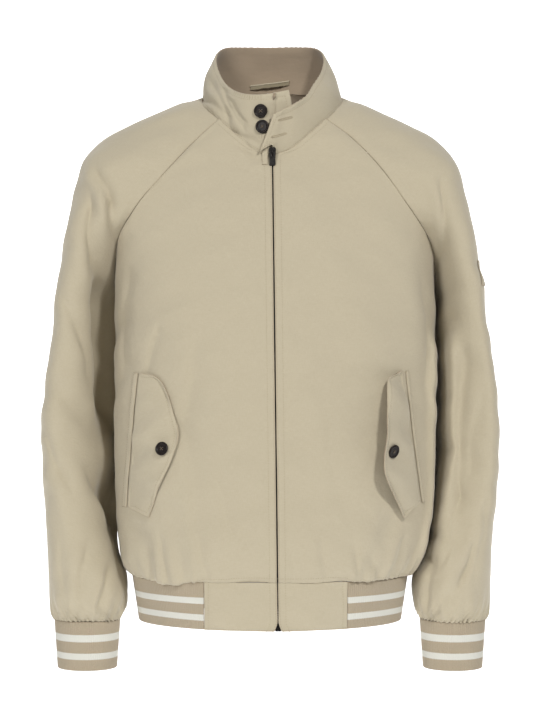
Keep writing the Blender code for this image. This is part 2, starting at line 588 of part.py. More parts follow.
def front_relief(row, shares, points, plain):
    """Gathers where a front meets the rib, and its folds."""
    height = row * (UNDERARM - HEM_SEAM) if row <= 1 else 1.0
    over_rib = np.clip((np.abs(points[:, 0] - zip_x(HEM_SEAM)) - GATHERS_FROM) / GATHERS_GROW, 0, 1)
    return over_rib * gathers(shares, FRONT_GATHERS, height, plain) - trough(points, BODY_FOLDS)


def back_relief(row, shares, points, plain):
    height = row * (UNDERARM - HEM_SEAM) if row <= 1 else 1.0
    return gathers(shares, BACK_GATHERS, height, plain)


def sleeve_relief(folds):
    """Gathers above the cuff, and folds that fade out towards the piece's seams."""

    def relief(row, shares, points, plain):
        height = (2 - row) * (UNDERARM - CUFF_SEAM) if row > 1 else 1.0
        off_seams = (1 - shares ** 8) * (1 - (1 - shares) ** 5)
        return gathers(shares, SLEEVE_GATHERS, height, plain) - trough(points, folds) * off_seams

    return relief


def make_body():
    """The two fronts and the back, as Panels, and their row numbers."""
    rows = body_rows()
    top = GATHER_HEIGHTS[-1] / (UNDERARM - HEM_SEAM)
    gathered = [0 < row <= top * 1.001 for row in rows]
    panels = {}
    for side, name in ((-1, "front_right"), (1, "front_left")):
        panels[name] = Panel(
            functools.partial(body_row, side, "front"), rows, FRONT_COLUMNS, (0, -1, 0), front_relief,
            [FRONT_GATHERS * POINTS_PER_GATHER if near else FRONT_COLUMNS for near in gathered[:-1]] + [1],
        )

    def back_row(row, shares):
        right, left = shares[shares <= 0.5], shares[shares > 0.5]
        return np.concatenate(
            [body_row(-1, "back", row, 1 - 2 * right), body_row(1, "back", row, 2 * left - 1)]
        )

    panels["back"] = Panel(
        back_row, rows, 2 * BACK_COLUMNS, (0, 1, 0), back_relief,
        [BACK_GATHERS * POINTS_PER_GATHER if near else 2 * BACK_COLUMNS for near in gathered],
    )
    return rows, panels


def make_sleeves():
    """The four sleeve halves, as Panels, and their row numbers."""
    rows = sleeve_rows()
    top = 2 - GATHER_HEIGHTS[-1] / (UNDERARM - CUFF_SEAM)
    counts = [
        SLEEVE_GATHERS * POINTS_PER_GATHER if top * 0.999 <= row < 2 else SLEEVE_COLUMNS for row in rows
    ]
    panels = {}
    for side, arm in ((-1, "right"), (1, "left")):
        for half, forward, folds in (("front", -1, SLEEVE_FOLDS), ("back", 1, ())):
            panels[f"sleeve_{half}_{arm}"] = Panel(
                functools.partial(sleeve_row, side, half), rows, SLEEVE_COLUMNS, (0, forward, 0),
                sleeve_relief(folds), counts,
            )
    return rows, panels


def join_seams(body, body_numbers, sleeves, sleeve_numbers):
    """Shared normals along the side, raglan, overarm and underarm seams."""
    under = body_numbers.index(1.0)
    yoke = list(range(under, len(body_numbers)))
    yoke_down = [sleeve_numbers.index(2 - body_numbers[i]) for i in yoke]
    arm = list(range(sleeve_numbers.index(1.0), len(sleeve_numbers)))
    whole = range(len(sleeve_numbers))
    for side, end in (("right", 0), ("left", -1)):
        front, back = body[f"front_{side}"], body["back"]
        over, behind = sleeves[f"sleeve_front_{side}"], sleeves[f"sleeve_back_{side}"]
        front.share_normals(-1, range(under), back, end, range(under))
        front.share_normals(-1, yoke, over, -1, yoke_down)
        back.share_normals(end, yoke, behind, -1, yoke_down)
        over.share_normals(0, whole, behind, 0, whole)
        over.share_normals(-1, arm, behind, -1, arm)


# ------------------------------------------------------------------------------------------- hem, cuffs and collar


def oval_ring(radii, rounding, middle, z, from_x=0.0, to_x=0.0):
    """Fine points round an oval, from from_x in front by the wearer's right and the back to to_x in front.

    radii are the reach to the wearer's right, to the left, forward and back.
    """
    right, left, before, behind = radii
    first = math.asin((-from_x / right) ** (rounding / 2))
    last = 2 * math.pi - math.asin((to_x / left) ** (rounding / 2))
    run, fall = oval(np.linspace(first, last, RING_POINTS), rounding)
    x = middle[0] - run * np.where(run > 0, right, left)
    y = middle[1] + (fall - 1) * np.where(fall < 1, before, behind)
    return np.stack([x, y, np.full(RING_POINTS, z)], axis=1)


def level_normals(line):
    """Level unit normals, pointing out of a line that runs clockwise as seen from above."""
    ahead = np.gradient(line, axis=0)
    if np.allclose(line[0], line[-1], atol=1e-6):
        ahead[0] = ahead[-1] = line[1] - line[-2]
    return unit(np.stack([-ahead[:, 1], ahead[:, 0], np.zeros(len(line))], axis=1))


def band(name, lines, finish, ribs=0, columns=8, depth=RIB_WALL, closed=False):
    """An upright band through level lines, with its ribs raised over a plain inside."""
    outer, inner = [], []
    plain = np.linspace(0, 1, columns + 1)
    fine = np.linspace(0, 1, 2 * ribs + 1) if ribs else plain
    fall = RIB_RELIEF * (np.arange(len(fine)) % 2)[:, None] if ribs else 0.0
    for line in lines:
        normals = level_normals(line)
        outer.append(evenly(line, fine) - fall * unit(evenly(line, fine, normals)))
        inner.append(evenly(line, plain) - depth * unit(evenly(line, plain, normals)))
    return wall(name, outer, inner, finish, closed)


def hem_radii(z):
    share = (HEM_SEAM - z) / (HEM_SEAM - HEM_FOOT)
    at_seam = (-SIDES[0][1], SIDES[0][2], -CENTRE_FRONT[0][1], CENTRE_BACK[0][1])
    at_foot = (HEM_FOOT_HALF_WIDTH, HEM_FOOT_HALF_WIDTH, HEM_FOOT_FRONT, HEM_FOOT_BACK)
    return [top + (foot - top) * share for top, foot in zip(at_seam, at_foot)]


def hem_rounding(z):
    return BODY_ROUNDING + (HEM_FOOT_ROUNDING - BODY_ROUNDING) * (HEM_SEAM - z) / (HEM_SEAM - HEM_FOOT)


def hem_front_line(z, from_x, to_x):
    """Points on the front of the hem's oval between two places across."""
    right, left, before, _ = hem_radii(z)
    rounding = hem_rounding(z)
    x = np.linspace(from_x, to_x, RING_POINTS)
    part = np.abs(x) / np.where(x < 0, right, left)
    y = -before * (1 - part ** rounding) ** (1 / rounding)
    return np.stack([x, y, np.full(RING_POINTS, z)], axis=1)


def make_hem():
    top = HEM_SEAM - SEAM_GAP
    lines = [
        oval_ring(hem_radii(z), hem_rounding(z), (0, 0), z, HEM_PANEL_END_RIGHT, HEM_PANEL_END_LEFT)
        for z in (top, (top + HEM_FOOT) / 2, HEM_FOOT)
    ]
    band("waist_rib", lines, "rib_knit", WAIST_RIBS, WAIST_COLUMNS)
    for side, arm, end in ((-1, "right", HEM_PANEL_END_RIGHT), (1, "left", HEM_PANEL_END_LEFT)):
        lines = []
        middle = (top + HEM_FOOT) / 2
        notches = (
            (top, 0), (middle, 0), (HEM_FOOT + ZIP_NOTCH_HEIGHT, 0), (HEM_FOOT, ZIP_NOTCH - FRONT_EDGE_GAP)
        )
        for z, notch in notches:
            ends = (end - side * SEAM_GAP, zip_x(z) + side * (FRONT_EDGE_GAP + notch))
            lines.append(hem_front_line(z, max(ends), min(ends)))
        band(f"hem_panel_{arm}", lines, "cotton", depth=FLAP_CLOTH)


def make_cuffs():
    outer, inner, middle, depth = (ARM[-1][k] for k in (1, 2, 4, 5))
    half, centre = (outer - inner) / 2, (outer + inner) / 2
    foot = (CUFF_FOOT_HALF_WIDTH, CUFF_FOOT_HALF_WIDTH, CUFF_FOOT_HALF_DEPTH, CUFF_FOOT_HALF_DEPTH)
    for side, arm in ((-1, "right"), (1, "left")):
        place = (side * centre, middle)
        lines = [
            oval_ring((half, half, depth, depth), CUFF_ROUNDING, place, CUFF_SEAM - SEAM_GAP),
            oval_ring(foot, CUFF_ROUNDING, place, CUFF_FOOT),
        ]
        band(f"cuff_{arm}", lines, "rib_knit", CUFF_RIBS, CUFF_COLUMNS, closed=True)


def collar_columns():
    """Foot and top of each column of the collar, from its tab's end round to the wearer's left end, and its bow."""
    angles = list(reversed(FRONT_NECK_ANGLES))
    angles += list(np.linspace(RAGLAN_FRONT_ANGLE, 90, SLEEVE_COLUMNS + 1))
    angles += list(np.linspace(90, RAGLAN_BACK_ANGLE, SLEEVE_COLUMNS + 1))[1:]
    angles += list(np.linspace(RAGLAN_BACK_ANGLE, 180, BACK_COLUMNS + 1))[1:]
    feet, tops = [row[:3] for row in TAB_END], [row[3:] for row in TAB_END]
    round_neck = [0.0] * len(TAB_END)
    for side, table, stations in ((-1, COLLAR_TOP_RIGHT, angles), (1, COLLAR_TOP_LEFT, angles[-2::-1])):
        for angle in stations:
            feet.append(neck(side * angle)[0] + (0, 0, COLLAR_LIFT))
            tops.append([through(table, angle, k) for k in (1, 2, 3)])
            round_neck.append(angle)
    feet += [row[:3] for row in LEFT_END]
    tops += [row[3:] for row in LEFT_END]
    round_neck += [0.0] * len(LEFT_END)
    bow = COLLAR_BOW * np.clip(np.array(round_neck) / COLLAR_FLAT_ANGLE, 0.2, 1)
    return np.array(feet, float), np.array(tops, float), bow[:, None]


def make_collar():
    feet, tops, bow = collar_columns()
    normals = unit(np.cross(np.gradient(feet, axis=0) + np.gradient(tops, axis=0), tops - feet))
    if normals[len(normals) // 2] @ (0, 1, 0) < 0:
        normals = -normals
    outer, inner = [], []
    for share in np.linspace(0, 1, COLLAR_ROWS):
        outer.append(feet + (tops - feet) * share + bow * math.sin(math.pi * share) * normals)
        through_wall = unit(normals * (1, 1, share))  # level at the foot, so that the wall stands on the neck seam
        inner.append(outer[-1] - COLLAR_WALL * through_wall)
    return wall("collar", outer, inner, "cotton")


# ------------------------------------------------------------------------------------------ pieces that lie on others


class Surface:
    """The side of built pieces that faces one way, to lay others on."""

    def __init__(self, *names, facing=(0, -1, 0)):
        points, faces = [], []
        for name in names:
            mesh = bpy.data.objects[name].data
            skin = [face for face in mesh.polygons if face.normal.dot(Vector(facing)) > 0]
            faces += [[len(points) + v for v in face.vertices] for face in skin]
            points += [v.co.copy() for v in mesh.vertices]
        self.tree = BVHTree.FromPolygons(points, faces)

    def seen(self, origin, direction):
        """Where a line of sight first meets the surface, and the normal there, turned towards the viewer."""
        place, normal, _, _ = self.tree.ray_cast(Vector(origin), Vector(direction).normalized())
        normal = np.array(normal) * (-1 if normal.dot(Vector(direction)) > 0 else 1)
        return np.array(place), normal

    def before(self, x, z):
        return self.seen((x, -1, z), (0, 1, 0))

    def clearance(self, point):
        place, normal, _, _ = self.tree.find_nearest(Vector(point))
        return (Vector(point) - place).dot(normal), np.array(normal)


def settle(grid, surface, gap):
    """A grid of points moved out until every part of every cell clears the surface by the gap."""
    grid = grid.copy()
    shares = np.linspace(0, 1, 5)
    for _ in range(5):
        push = np.zeros(grid.shape)
        for i in range(len(grid) - 1):
            for j in range(len(grid[0]) - 1):
                low, high = grid[i], grid[i + 1]
                for u in shares:
                    for v in shares:
                        below, above = (row[j] * (1 - v) + row[j + 1] * v for row in (low, high))
                        point = below * (1 - u) + above * u
                        clear, normal = surface.clearance(point)
                        if clear < gap:
                            for corner in ((i, j), (i, j + 1), (i + 1, j), (i + 1, j + 1)):
                                if gap - clear > np.linalg.norm(push[corner]):
                                    push[corner] = (gap - clear) * normal
        grid += push
    return grid


def plate(name, grid, depth, finish, away=(0, -1, 0)):
    """A thin wall that has a grid of points as one face and is thickened to the side that `away` points to."""
    grid = np.array(grid)
    normals = unit(np.cross(np.gradient(grid, axis=1), np.gradient(grid, axis=0)))
    if normals[len(grid) // 2][len(grid[0]) // 2] @ away < 0:
        normals = -normals
    return wall(name, list(grid + depth * normals), list(grid), finish)


def make_pockets():
    shares = np.linspace(0, 1, FLAP_COLUMNS)
    for arm, table in POCKETS.items():
        front = Surface(f"front_{arm}")
        side = np.sign(table[0][0])
        flap, welt = [], []
        for hinge_x, hinge_z, outer_x, outer_z, rise in table:
            flap.append([])
            for share in shares:
                x, z = hinge_x + (outer_x - hinge_x) * share, hinge_z + (outer_z - hinge_z) * share
                flap[-1].append(front.before(x, z)[0] - (0, rise * share, 0))
            across = (hinge_x + side * WELT_FROM[arm], hinge_x + side * WELT_TO)
            welt.append([front.before(x, hinge_z)[0] for x in np.linspace(*across, 3)])
        plate(f"pocket_welt_{arm}", settle(np.array(welt), front, LYING_GAP), WELT_WALL, "cotton")
        plate(f"pocket_flap_{arm}", settle(np.array(flap), front, LYING_GAP), FLAP_CLOTH, "cotton")


def make_patch():
    sleeve = Surface("sleeve_front_left", facing=(1, -1, 0))
    grid = []
    for z in PATCH_LEVELS:
        grid.append([])
        for angle in np.radians(PATCH_ANGLES):
            way = np.array([math.sin(angle), -math.cos(angle), 0])
            grid[-1].append(sleeve.seen(np.array([PATCH_MIDDLE, 0, z]) + way, -way)[0])
    plate("sleeve_patch", settle(np.array(grid), sleeve, LYING_GAP), PATCH_WALL, "cotton", (1, -1, 0))


def make_loop():
    """A strap inside the back of the neck that hangs a little slack between its ends."""
    collar = Surface("collar")
    (from_x, from_z), (to_x, to_z) = LOOP_ENDS
    grid = []
    for edge in (LOOP_WIDTH / 2, -LOOP_WIDTH / 2):
        grid.append([])
        for share in np.linspace(0, 1, 7):
            z = from_z + (to_z - from_z) * share + edge
            place, normal = collar.seen((from_x + (to_x - from_x) * share, 0, z), (0, 1, 0))
            grid[-1].append(place + (LYING_GAP + LOOP_SLACK * math.sin(math.pi * share)) * normal)
    plate("hanger_loop", grid, LOOP_WALL, "cotton")


# --------------------------------------------------------------------------------------------------- buttons and zip


def make_button(name, surface, x, z):
    """A disc with a raised rim, turned about its axis and laid on a surface."""
    profile = [(out * BUTTON_RADIUS, 0, up * BUTTON_THICKNESS) for out, up in BUTTON_PROFILE]
    mesh = bpy.data.meshes.new(name)
    mesh.from_pydata(profile, [(i, i + 1) for i in range(len(profile) - 1)], [])
    mesh.materials.append(material("button_horn"))
    made = bpy.data.objects.new(name, mesh)
    bpy.data.collections["bomber_jacket"].objects.link(made)
    screw = made.modifiers.new("turn", "SCREW")
    screw.steps = screw.render_steps = BUTTON_SIDES
    screw.use_merge_vertices = True
    screw.merge_threshold = 0.00001
    place, normal = surface.before(x, z)
    made.matrix_world = (
        Matrix.Translation(place + LYING_GAP * normal) @ Vector(normal).to_track_quat("Z", "Y").to_matrix().to_4x4()
    )


def make_buttons():
    for arm, place in FLAP_BUTTONS.items():
        make_button(f"flap_button_{arm}", Surface(f"pocket_flap_{arm}"), *place)
    collar = Surface("collar")
    for level, place in COLLAR_BUTTONS.items():
        make_button(f"collar_button_{level}", collar, *place)


def flat_piece(name, outlines, thick, place, finish):
    """A flat piece cut to its first outline, less any others as holes. `place` moves it from the XY plane."""
    curve = bpy.data.curves.new(name, "CURVE")
    curve.dimensions, curve.fill_mode, curve.extrude = "2D", "BOTH", thick / 2
    for corners in outlines:
        spline = curve.splines.new("POLY")
        spline.points.add(len(corners) - 1)
        for point, (a, b) in zip(spline.points, corners):
            point.co = (a, b, 0, 1)
        spline.use_cyclic_u = True
    drawn = bpy.data.objects.new(name, curve)
    bpy.context.scene.collection.objects.link(drawn)
    drawn_now = drawn.evaluated_get(bpy.context.evaluated_depsgraph_get())
    mesh = bpy.data.meshes.new_from_object(drawn_now)
    bpy.data.objects.remove(drawn)
    bpy.data.curves.remove(curve)
    mesh.name = name
    mesh.transform(place)
    return link_mesh(name, mesh, finish, smooth=False)


def box_piece(name, size, middle, finish):
    mesh = bpy.data.meshes.new(name)
    work = bmesh.new()
    bmesh.ops.create_cube(work, size=1, matrix=Matrix.Translation(middle) @ Matrix.Diagonal((*size, 1)))
    work.to_mesh(mesh)
    work.free()
    return link_mesh(name, mesh, finish, smooth=False)


def join_on(made, part):
    """Joins a part to a piece, and keeps it as a hidden helper."""
    union = made.modifiers.new(f"join_{part.name}", "BOOLEAN")
    union.operation, union.solver, union.object = "UNION", "EXACT", part
    bpy.data.collections["bomber_jacket"].objects.unlink(part)
    bpy.data.collections["cutters"].objects.link(part)
    part.hide_render, part.display_type = True, "WIRE"


def make_slider():
    """The plate in front of the zip, its neck between the fronts, and the arch that carries the pull."""
    x, front = zip_x(SLIDER_LEVEL), SLIDER_BACK - SLIDER_PLATE
    upright = Matrix.Rotation(math.radians(90), 4, "X")
    middle = Matrix.Translation((x, front + SLIDER_PLATE / 2, SLIDER_LEVEL))
    slider = flat_piece("zip_slider", [SLIDER_OUTLINE], SLIDER_PLATE, middle @ upright, "zip_metal")
    end, inside, sunk = BRIDGE_HALF_LENGTH, BRIDGE_HALF_LENGTH - BRIDGE_BEAM, -SUNK
    high, under, corner = BRIDGE_HEIGHT, BRIDGE_HEIGHT - BRIDGE_BEAM, BRIDGE_CORNER
    arch = ((sunk, end), (high - corner, end), (high, end - corner), (high, corner - end), (high - corner, -end),
            (sunk, -end), (sunk, -inside), (under, -inside), (under, inside), (sunk, inside))
    forward = Matrix.Translation((x, front, SLIDER_LEVEL)) @ Matrix.Rotation(
        math.radians(-90), 4, "Z"
    ) @ upright
    join_on(slider, flat_piece("slider_arch", [arch], 2 * BRIDGE_HALF_WIDTH, forward, "zip_metal"))
    width, depth, height, below = SLIDER_NECK
    centre = (x, SLIDER_BACK + (depth - SUNK) / 2, SLIDER_LEVEL + below)
    join_on(slider, box_piece("slider_neck", (width, depth + SUNK, height), centre, "zip_metal"))


def make_pull():
    """The pull tab, with an eye round the slider's arch. Its origin is on the axis of its top bar."""
    half, bar, corner = PULL_HALF_WIDTH, PULL_WALL / 2, PULL_CORNER
    eye, eye_foot = PULL_EYE_HALF_WIDTH, bar + PULL_EYE_LENGTH
    outline = ((corner - half, bar), (half - corner, bar), (half, bar - corner), (half, corner - PULL_LENGTH),
               (half - corner, -PULL_LENGTH), (corner - half, -PULL_LENGTH), (-half, corner - PULL_LENGTH),
               (-half, bar - corner))
    hole = ((-eye, -bar), (eye, -bar), (eye, -eye_foot), (-eye, -eye_foot))
    hang = Matrix.Rotation(math.radians(90 - PULL_LEAN), 4, "X")
    pull = flat_piece("zip_pull", [outline, hole], PULL_WALL, hang, "zip_metal")
    pull.location = (zip_x(SLIDER_LEVEL), SLIDER_BACK - SLIDER_PLATE - PIVOT_STANDOFF, SLIDER_LEVEL)


def make_zip():
    """Chain, tapes and box behind the fronts, slider and pull in front."""
    levels = [z for z in FRONT_ZIP_LEVELS if z < ZIP_TOP] + list(BODY_LEVELS[-2::-1])
    levels += [HEM_SEAM + height for height in (*GATHER_HEIGHTS[:0:-1], 2 * SEAM_GAP, -2 * SEAM_GAP)]
    fronts = Surface("front_right", "front_left", "hem_panel_right", "hem_panel_left")

    def row(z, places):
        found = [fronts.before(zip_x(z) + x, z) for x in places]
        return [place - ZIP_DEPTH * normal for place, normal in found]

    inner, outer = CHAIN_HALF_WIDTH + SEAM_GAP, CHAIN_HALF_WIDTH + SEAM_GAP + TAPE_WIDTH
    for side, arm in ((-1, "right"), (1, "left")):
        grid = [row(z, (side * inner, side * outer)) for z in (TAPE_TOP, *levels, CHAIN_FOOT)]
        plate(f"zip_tape_{arm}", grid, TAPE_WALL, "zip_tape", (0, 1, 0))
    grid = [row(z, (-CHAIN_HALF_WIDTH, CHAIN_HALF_WIDTH)) for z in (CHAIN_TOP, *levels, CHAIN_FOOT)]
    plate("zip_chain", grid, CHAIN_WALL, "zip_metal", (0, 1, 0))

    x = zip_x(HEM_FOOT)
    before = hem_front_line(HEM_FOOT + BOX_HEIGHT, x - BOX_HALF_WIDTH, x + BOX_HALF_WIDTH)
    middle = (x, before[:, 1].max() + ZIP_DEPTH + BOX_WALL / 2, HEM_FOOT + BOX_HEIGHT / 2)
    box_piece("zip_box", (2 * BOX_HALF_WIDTH, BOX_WALL, BOX_HEIGHT), middle, "zip_metal")
    make_slider()
    make_pull()


def main():
    for old in list(bpy.data.objects):
        bpy.data.objects.remove(old)
    for name in ("bomber_jacket", "cutters"):
        bpy.context.scene.collection.children.link(bpy.data.collections.new(name))
    body_numbers, body = make_body()
    sleeve_numbers, sleeves = make_sleeves()
    join_seams(body, body_numbers, sleeves, sleeve_numbers)
    for name in ("front_right", "front_left"):
        body[name].build(name, ("end", "first"))
    body["back"].build("back", ("start", "end", "first"))
    for name, panel in sleeves.items():
        panel.build(name, ("start", "end", "last"))
    make_hem()
    make_cuffs()
    make_collar()
    make_pockets()
    make_patch()
    make_loop()
    make_buttons()
    make_zip()


main()
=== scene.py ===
"""The finished look of a zip-up bomber jacket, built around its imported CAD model.

Cotton panels with their seams, creases and topstitching, striped rib knit, horn buttons and a metal zip.
Metres, +Z up. The front faces -Y and the wearer's left is at +X.
"""

import json
import math

import bpy
import numpy as np
from mathutils import Matrix, Vector
from mathutils.bvhtree import BVHTree

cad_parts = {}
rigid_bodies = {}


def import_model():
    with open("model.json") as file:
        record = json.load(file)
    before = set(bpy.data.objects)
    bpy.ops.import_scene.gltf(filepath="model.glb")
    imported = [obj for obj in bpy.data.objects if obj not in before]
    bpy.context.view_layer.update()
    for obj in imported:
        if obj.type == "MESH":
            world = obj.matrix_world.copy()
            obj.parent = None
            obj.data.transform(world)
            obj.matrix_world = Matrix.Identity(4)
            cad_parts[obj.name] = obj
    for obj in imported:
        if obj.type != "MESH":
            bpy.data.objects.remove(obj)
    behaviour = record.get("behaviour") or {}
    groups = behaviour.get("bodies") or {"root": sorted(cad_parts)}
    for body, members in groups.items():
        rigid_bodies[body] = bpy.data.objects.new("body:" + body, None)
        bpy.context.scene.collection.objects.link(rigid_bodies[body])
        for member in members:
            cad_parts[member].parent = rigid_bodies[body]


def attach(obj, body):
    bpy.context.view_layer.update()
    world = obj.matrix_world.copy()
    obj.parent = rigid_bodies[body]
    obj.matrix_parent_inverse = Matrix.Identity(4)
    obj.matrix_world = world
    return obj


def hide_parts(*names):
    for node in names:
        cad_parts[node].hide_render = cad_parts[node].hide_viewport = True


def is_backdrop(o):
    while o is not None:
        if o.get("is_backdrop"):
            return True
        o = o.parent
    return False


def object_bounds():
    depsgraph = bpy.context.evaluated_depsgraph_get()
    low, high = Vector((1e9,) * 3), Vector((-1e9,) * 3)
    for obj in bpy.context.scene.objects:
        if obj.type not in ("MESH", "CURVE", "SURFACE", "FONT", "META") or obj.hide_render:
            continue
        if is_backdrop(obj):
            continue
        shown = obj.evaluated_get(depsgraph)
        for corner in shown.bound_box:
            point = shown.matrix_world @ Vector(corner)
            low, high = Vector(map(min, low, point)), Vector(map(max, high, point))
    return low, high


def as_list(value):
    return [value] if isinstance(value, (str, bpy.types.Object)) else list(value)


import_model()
cad_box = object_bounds()
JACKET, PULL = "jacket", "zip_pull"
ARMS = ((-1, "right"), (1, "left"))

# ---------------------------------------------------------------------------------------- the jacket's sizes

COTTON_WALL, FLAP_WALL, COLLAR_WALL, RIB_WALL, TAPE_WALL = 0.0015, 0.0020, 0.0030, 0.0024, 0.0009
EDGE_ROLL = 0.0016  # how far in from an edge the cloth starts to round over
THIN_EDGE = 0.16  # the share of its thickness that is left at the very edge
LYING_GAP = 0.0004

UNDERARM, HEM_SEAM, HEM_FOOT, CUFF_SEAM, CUFF_FOOT = -0.235, -0.606, -0.666, -0.663, -0.7255
ZIP_TOP_X, ZIP_FOOT_X, ZIP_TOP = 0.003, 0.010, -0.080
FRONT_EDGE_GAP = 0.0007

NECK_HALF_WIDTH, NECK_FRONT, NECK_BACK = 0.090, 0.092, 0.068
NECK_HEIGHTS = ((0, -0.080), (15, -0.071), (27, -0.056), (48, -0.031), (70, -0.012), (90, 0.001),
                (115, 0.008), (138, 0.0125), (180, 0.018))
RAGLAN_FRONT_ANGLE, RAGLAN_BACK_ANGLE = 48, 138

SIDES = ((HEM_SEAM, -0.1765, 0.1765), (-0.592, -0.187, 0.1885), (-0.565, -0.194, 0.199),
         (-0.514, -0.1975, 0.2075), (-0.400, -0.198, 0.211), (-0.300, -0.198, 0.212),
         (UNDERARM, -0.197, 0.2115))
CENTRE_FRONT = ((HEM_SEAM, -0.128), (-0.592, -0.1355), (-0.565, -0.141), (-0.514, -0.1435), (-0.400, -0.144),
                (-0.300, -0.1425), (UNDERARM, -0.1375), (-0.195, -0.1315), (-0.160, -0.1235),
                (-0.130, -0.1145), (-0.100, -0.1025), (ZIP_TOP, -0.092))
CENTRE_BACK = ((HEM_SEAM, 0.128), (-0.592, 0.1355), (-0.565, 0.1415), (-0.514, 0.144), (-0.400, 0.143),
               (-0.300, 0.142), (UNDERARM, 0.141), (-0.160, 0.136), (-0.080, 0.122), (-0.030, 0.100),
               (0.018, 0.068))

# The yoke runs from section 0 at the neck to section 8 at the underarm. There body and sleeves meet at the
# raglan seams, whose rows are: the wearer's right x, left x, y and z.
YOKE_SECTIONS = 8
OVERARM = ((0.0900, 0.0010), (0.1165, -0.0060), (0.1475, -0.0200), (0.1800, -0.0350), (0.2115, -0.0520),
           (0.2355, -0.0775), (0.2470, -0.1150), (0.2545, -0.1540), (0.2625, -0.2050))
FRONT_RAGLAN = (
    (-0.064, 0.07, -0.0615, -0.031), (-0.0884, 0.1, -0.076, -0.0553), (-0.1144, 0.1278, -0.0875, -0.0841),
    (-0.1383, 0.1487, -0.093, -0.1105), (-0.1608, 0.1668, -0.091, -0.1361), (-0.1773, 0.184, -0.08, -0.1598),
    (-0.189, 0.197, -0.061, -0.1785), (-0.1945, 0.207, -0.036, -0.201), (-0.197, 0.2115, 0.0, UNDERARM),
)
BACK_RAGLAN = (
    (-0.0572, 0.0632, 0.0505, 0.0125), (-0.0850, 0.0930, 0.0800, -0.0120), (-0.1120, 0.1210, 0.1000, -0.0450),
    (-0.136, 0.144, 0.109, -0.078), (-0.158, 0.164, 0.107, -0.11), (-0.175, 0.182, 0.095, -0.142),
    (-0.188, 0.196, 0.072, -0.17), (-0.194, 0.2065, 0.041, -0.197), (-0.197, 0.2115, 0.0, UNDERARM),
)
# Degrees that each section turns: sleeve front, sleeve back, body front, body back.
YOKE_TURNS = ((60, 60, 40, 40), (62, 62, 46, 46), (76, 76, 52, 50), (90, 88, 56, 54), (101, 100, 60, 60),
              (122, 118, 69, 67), (141, 138, 78, 76), (158, 156, 85, 84), (180, 180, 90, 90))
# How deep the sleeve is before and behind its middle.
YOKE_REACH = ((0.090, 0.080), (0.092, 0.092), (0.093, 0.102), (0.094, 0.108), (0.094, 0.108), (0.094, 0.106),
              (0.093, 0.103), (0.090, 0.096), (0.086, 0.086))
FRONT_NECK_ROWS = 3  # sections 0 to 3 of a front start on the neck seam, and the others on the zip
FRONT_NECK_ANGLES = (46, 32, 17, 1)
FRONT_ZIP_LEVELS = (ZIP_TOP, -0.105, -0.134, -0.165, -0.198, UNDERARM)
BACK_LEVELS = (0.018, -0.003, -0.026, -0.052, -0.082, -0.116, -0.155, -0.195, UNDERARM)

# Sleeve below the underarm: level, outer x, right inner x, left inner x, middle y, depth before and behind,
# lean, how far the underarm seam lies behind the middle, and the oval's exponent on the right and the left.
ARM = (
    (UNDERARM, 0.2625, 0.1970, 0.2115, 0.000, 0.086, 0.086, 0.010, 0.000, 2.1, 2.1),
    (-0.252, 0.2655, 0.1990, 0.2138, 0.000, 0.084, 0.085, 0.012, 0.007, 2.1, 2.2),
    (-0.280, 0.2690, 0.2000, 0.2140, 0.000, 0.082, 0.084, 0.013, 0.014, 2.2, 2.4),
    (-0.325, 0.2760, 0.2000, 0.2140, -0.001, 0.079, 0.081, 0.013, 0.025, 2.2, 2.7),
    (-0.375, 0.2838, 0.2000, 0.2135, -0.003, 0.075, 0.078, 0.012, 0.033, 2.2, 2.8),
    (-0.430, 0.2875, 0.2000, 0.2125, -0.005, 0.071, 0.074, 0.010, 0.037, 2.2, 2.8),
    (-0.490, 0.2868, 0.1995, 0.2105, -0.007, 0.067, 0.070, 0.007, 0.037, 2.2, 2.8),
    (-0.540, 0.2845, 0.1985, 0.2055, -0.009, 0.065, 0.067, 0.004, 0.033, 2.2, 2.6),
    (-0.580, 0.2830, 0.1943, 0.1975, -0.011, 0.063, 0.065, 0.002, 0.020, 2.1, 2.3),
    (-0.612, 0.2820, 0.1830, 0.1830, -0.013, 0.061, 0.062, 0.000, 0.010, 2.1, 2.1),
    (-0.638, 0.2800, 0.1830, 0.1825, -0.014, 0.057, 0.057, 0.000, 0.004, 2.1, 2.1),
    (-0.652, 0.2775, 0.1862, 0.1855, -0.015, 0.050, 0.050, 0.000, 0.001, 2.0, 2.0),
    (CUFF_SEAM, 0.2750, 0.1910, 0.1910, -0.015, 0.042, 0.042, 0.000, 0.000, 2.0, 2.0),
)
LEFT_SLEEVE_IN, ARM_LIFT = 0.002, 0.030
BODY_ROUNDING, SLEEVE_ROUNDING, CUFF_ROUNDING = 2.45, 2.1, 2.0

HEM_FOOT_HALF_WIDTH, HEM_FOOT_FRONT, HEM_FOOT_BACK, HEM_FOOT_ROUNDING = 0.168, 0.1255, 0.126, 1.95
HEM_PANEL_END_RIGHT, HEM_PANEL_END_LEFT = -0.0815, 0.0957
CUFF_FOOT_HALF_WIDTH, CUFF_FOOT_HALF_DEPTH = 0.0378, 0.0385
RING_POINTS = 721

FRONT_GATHERS, BACK_GATHERS, SLEEVE_GATHERS = 11, 30, 9
GATHER_DEPTH, GATHER_PEAK, GATHER_END = 0.0017, 0.008, 0.046
GATHERS_FROM, GATHERS_GROW = 0.07, 0.03  # how far from the zip a front's gathers start, and grow to full

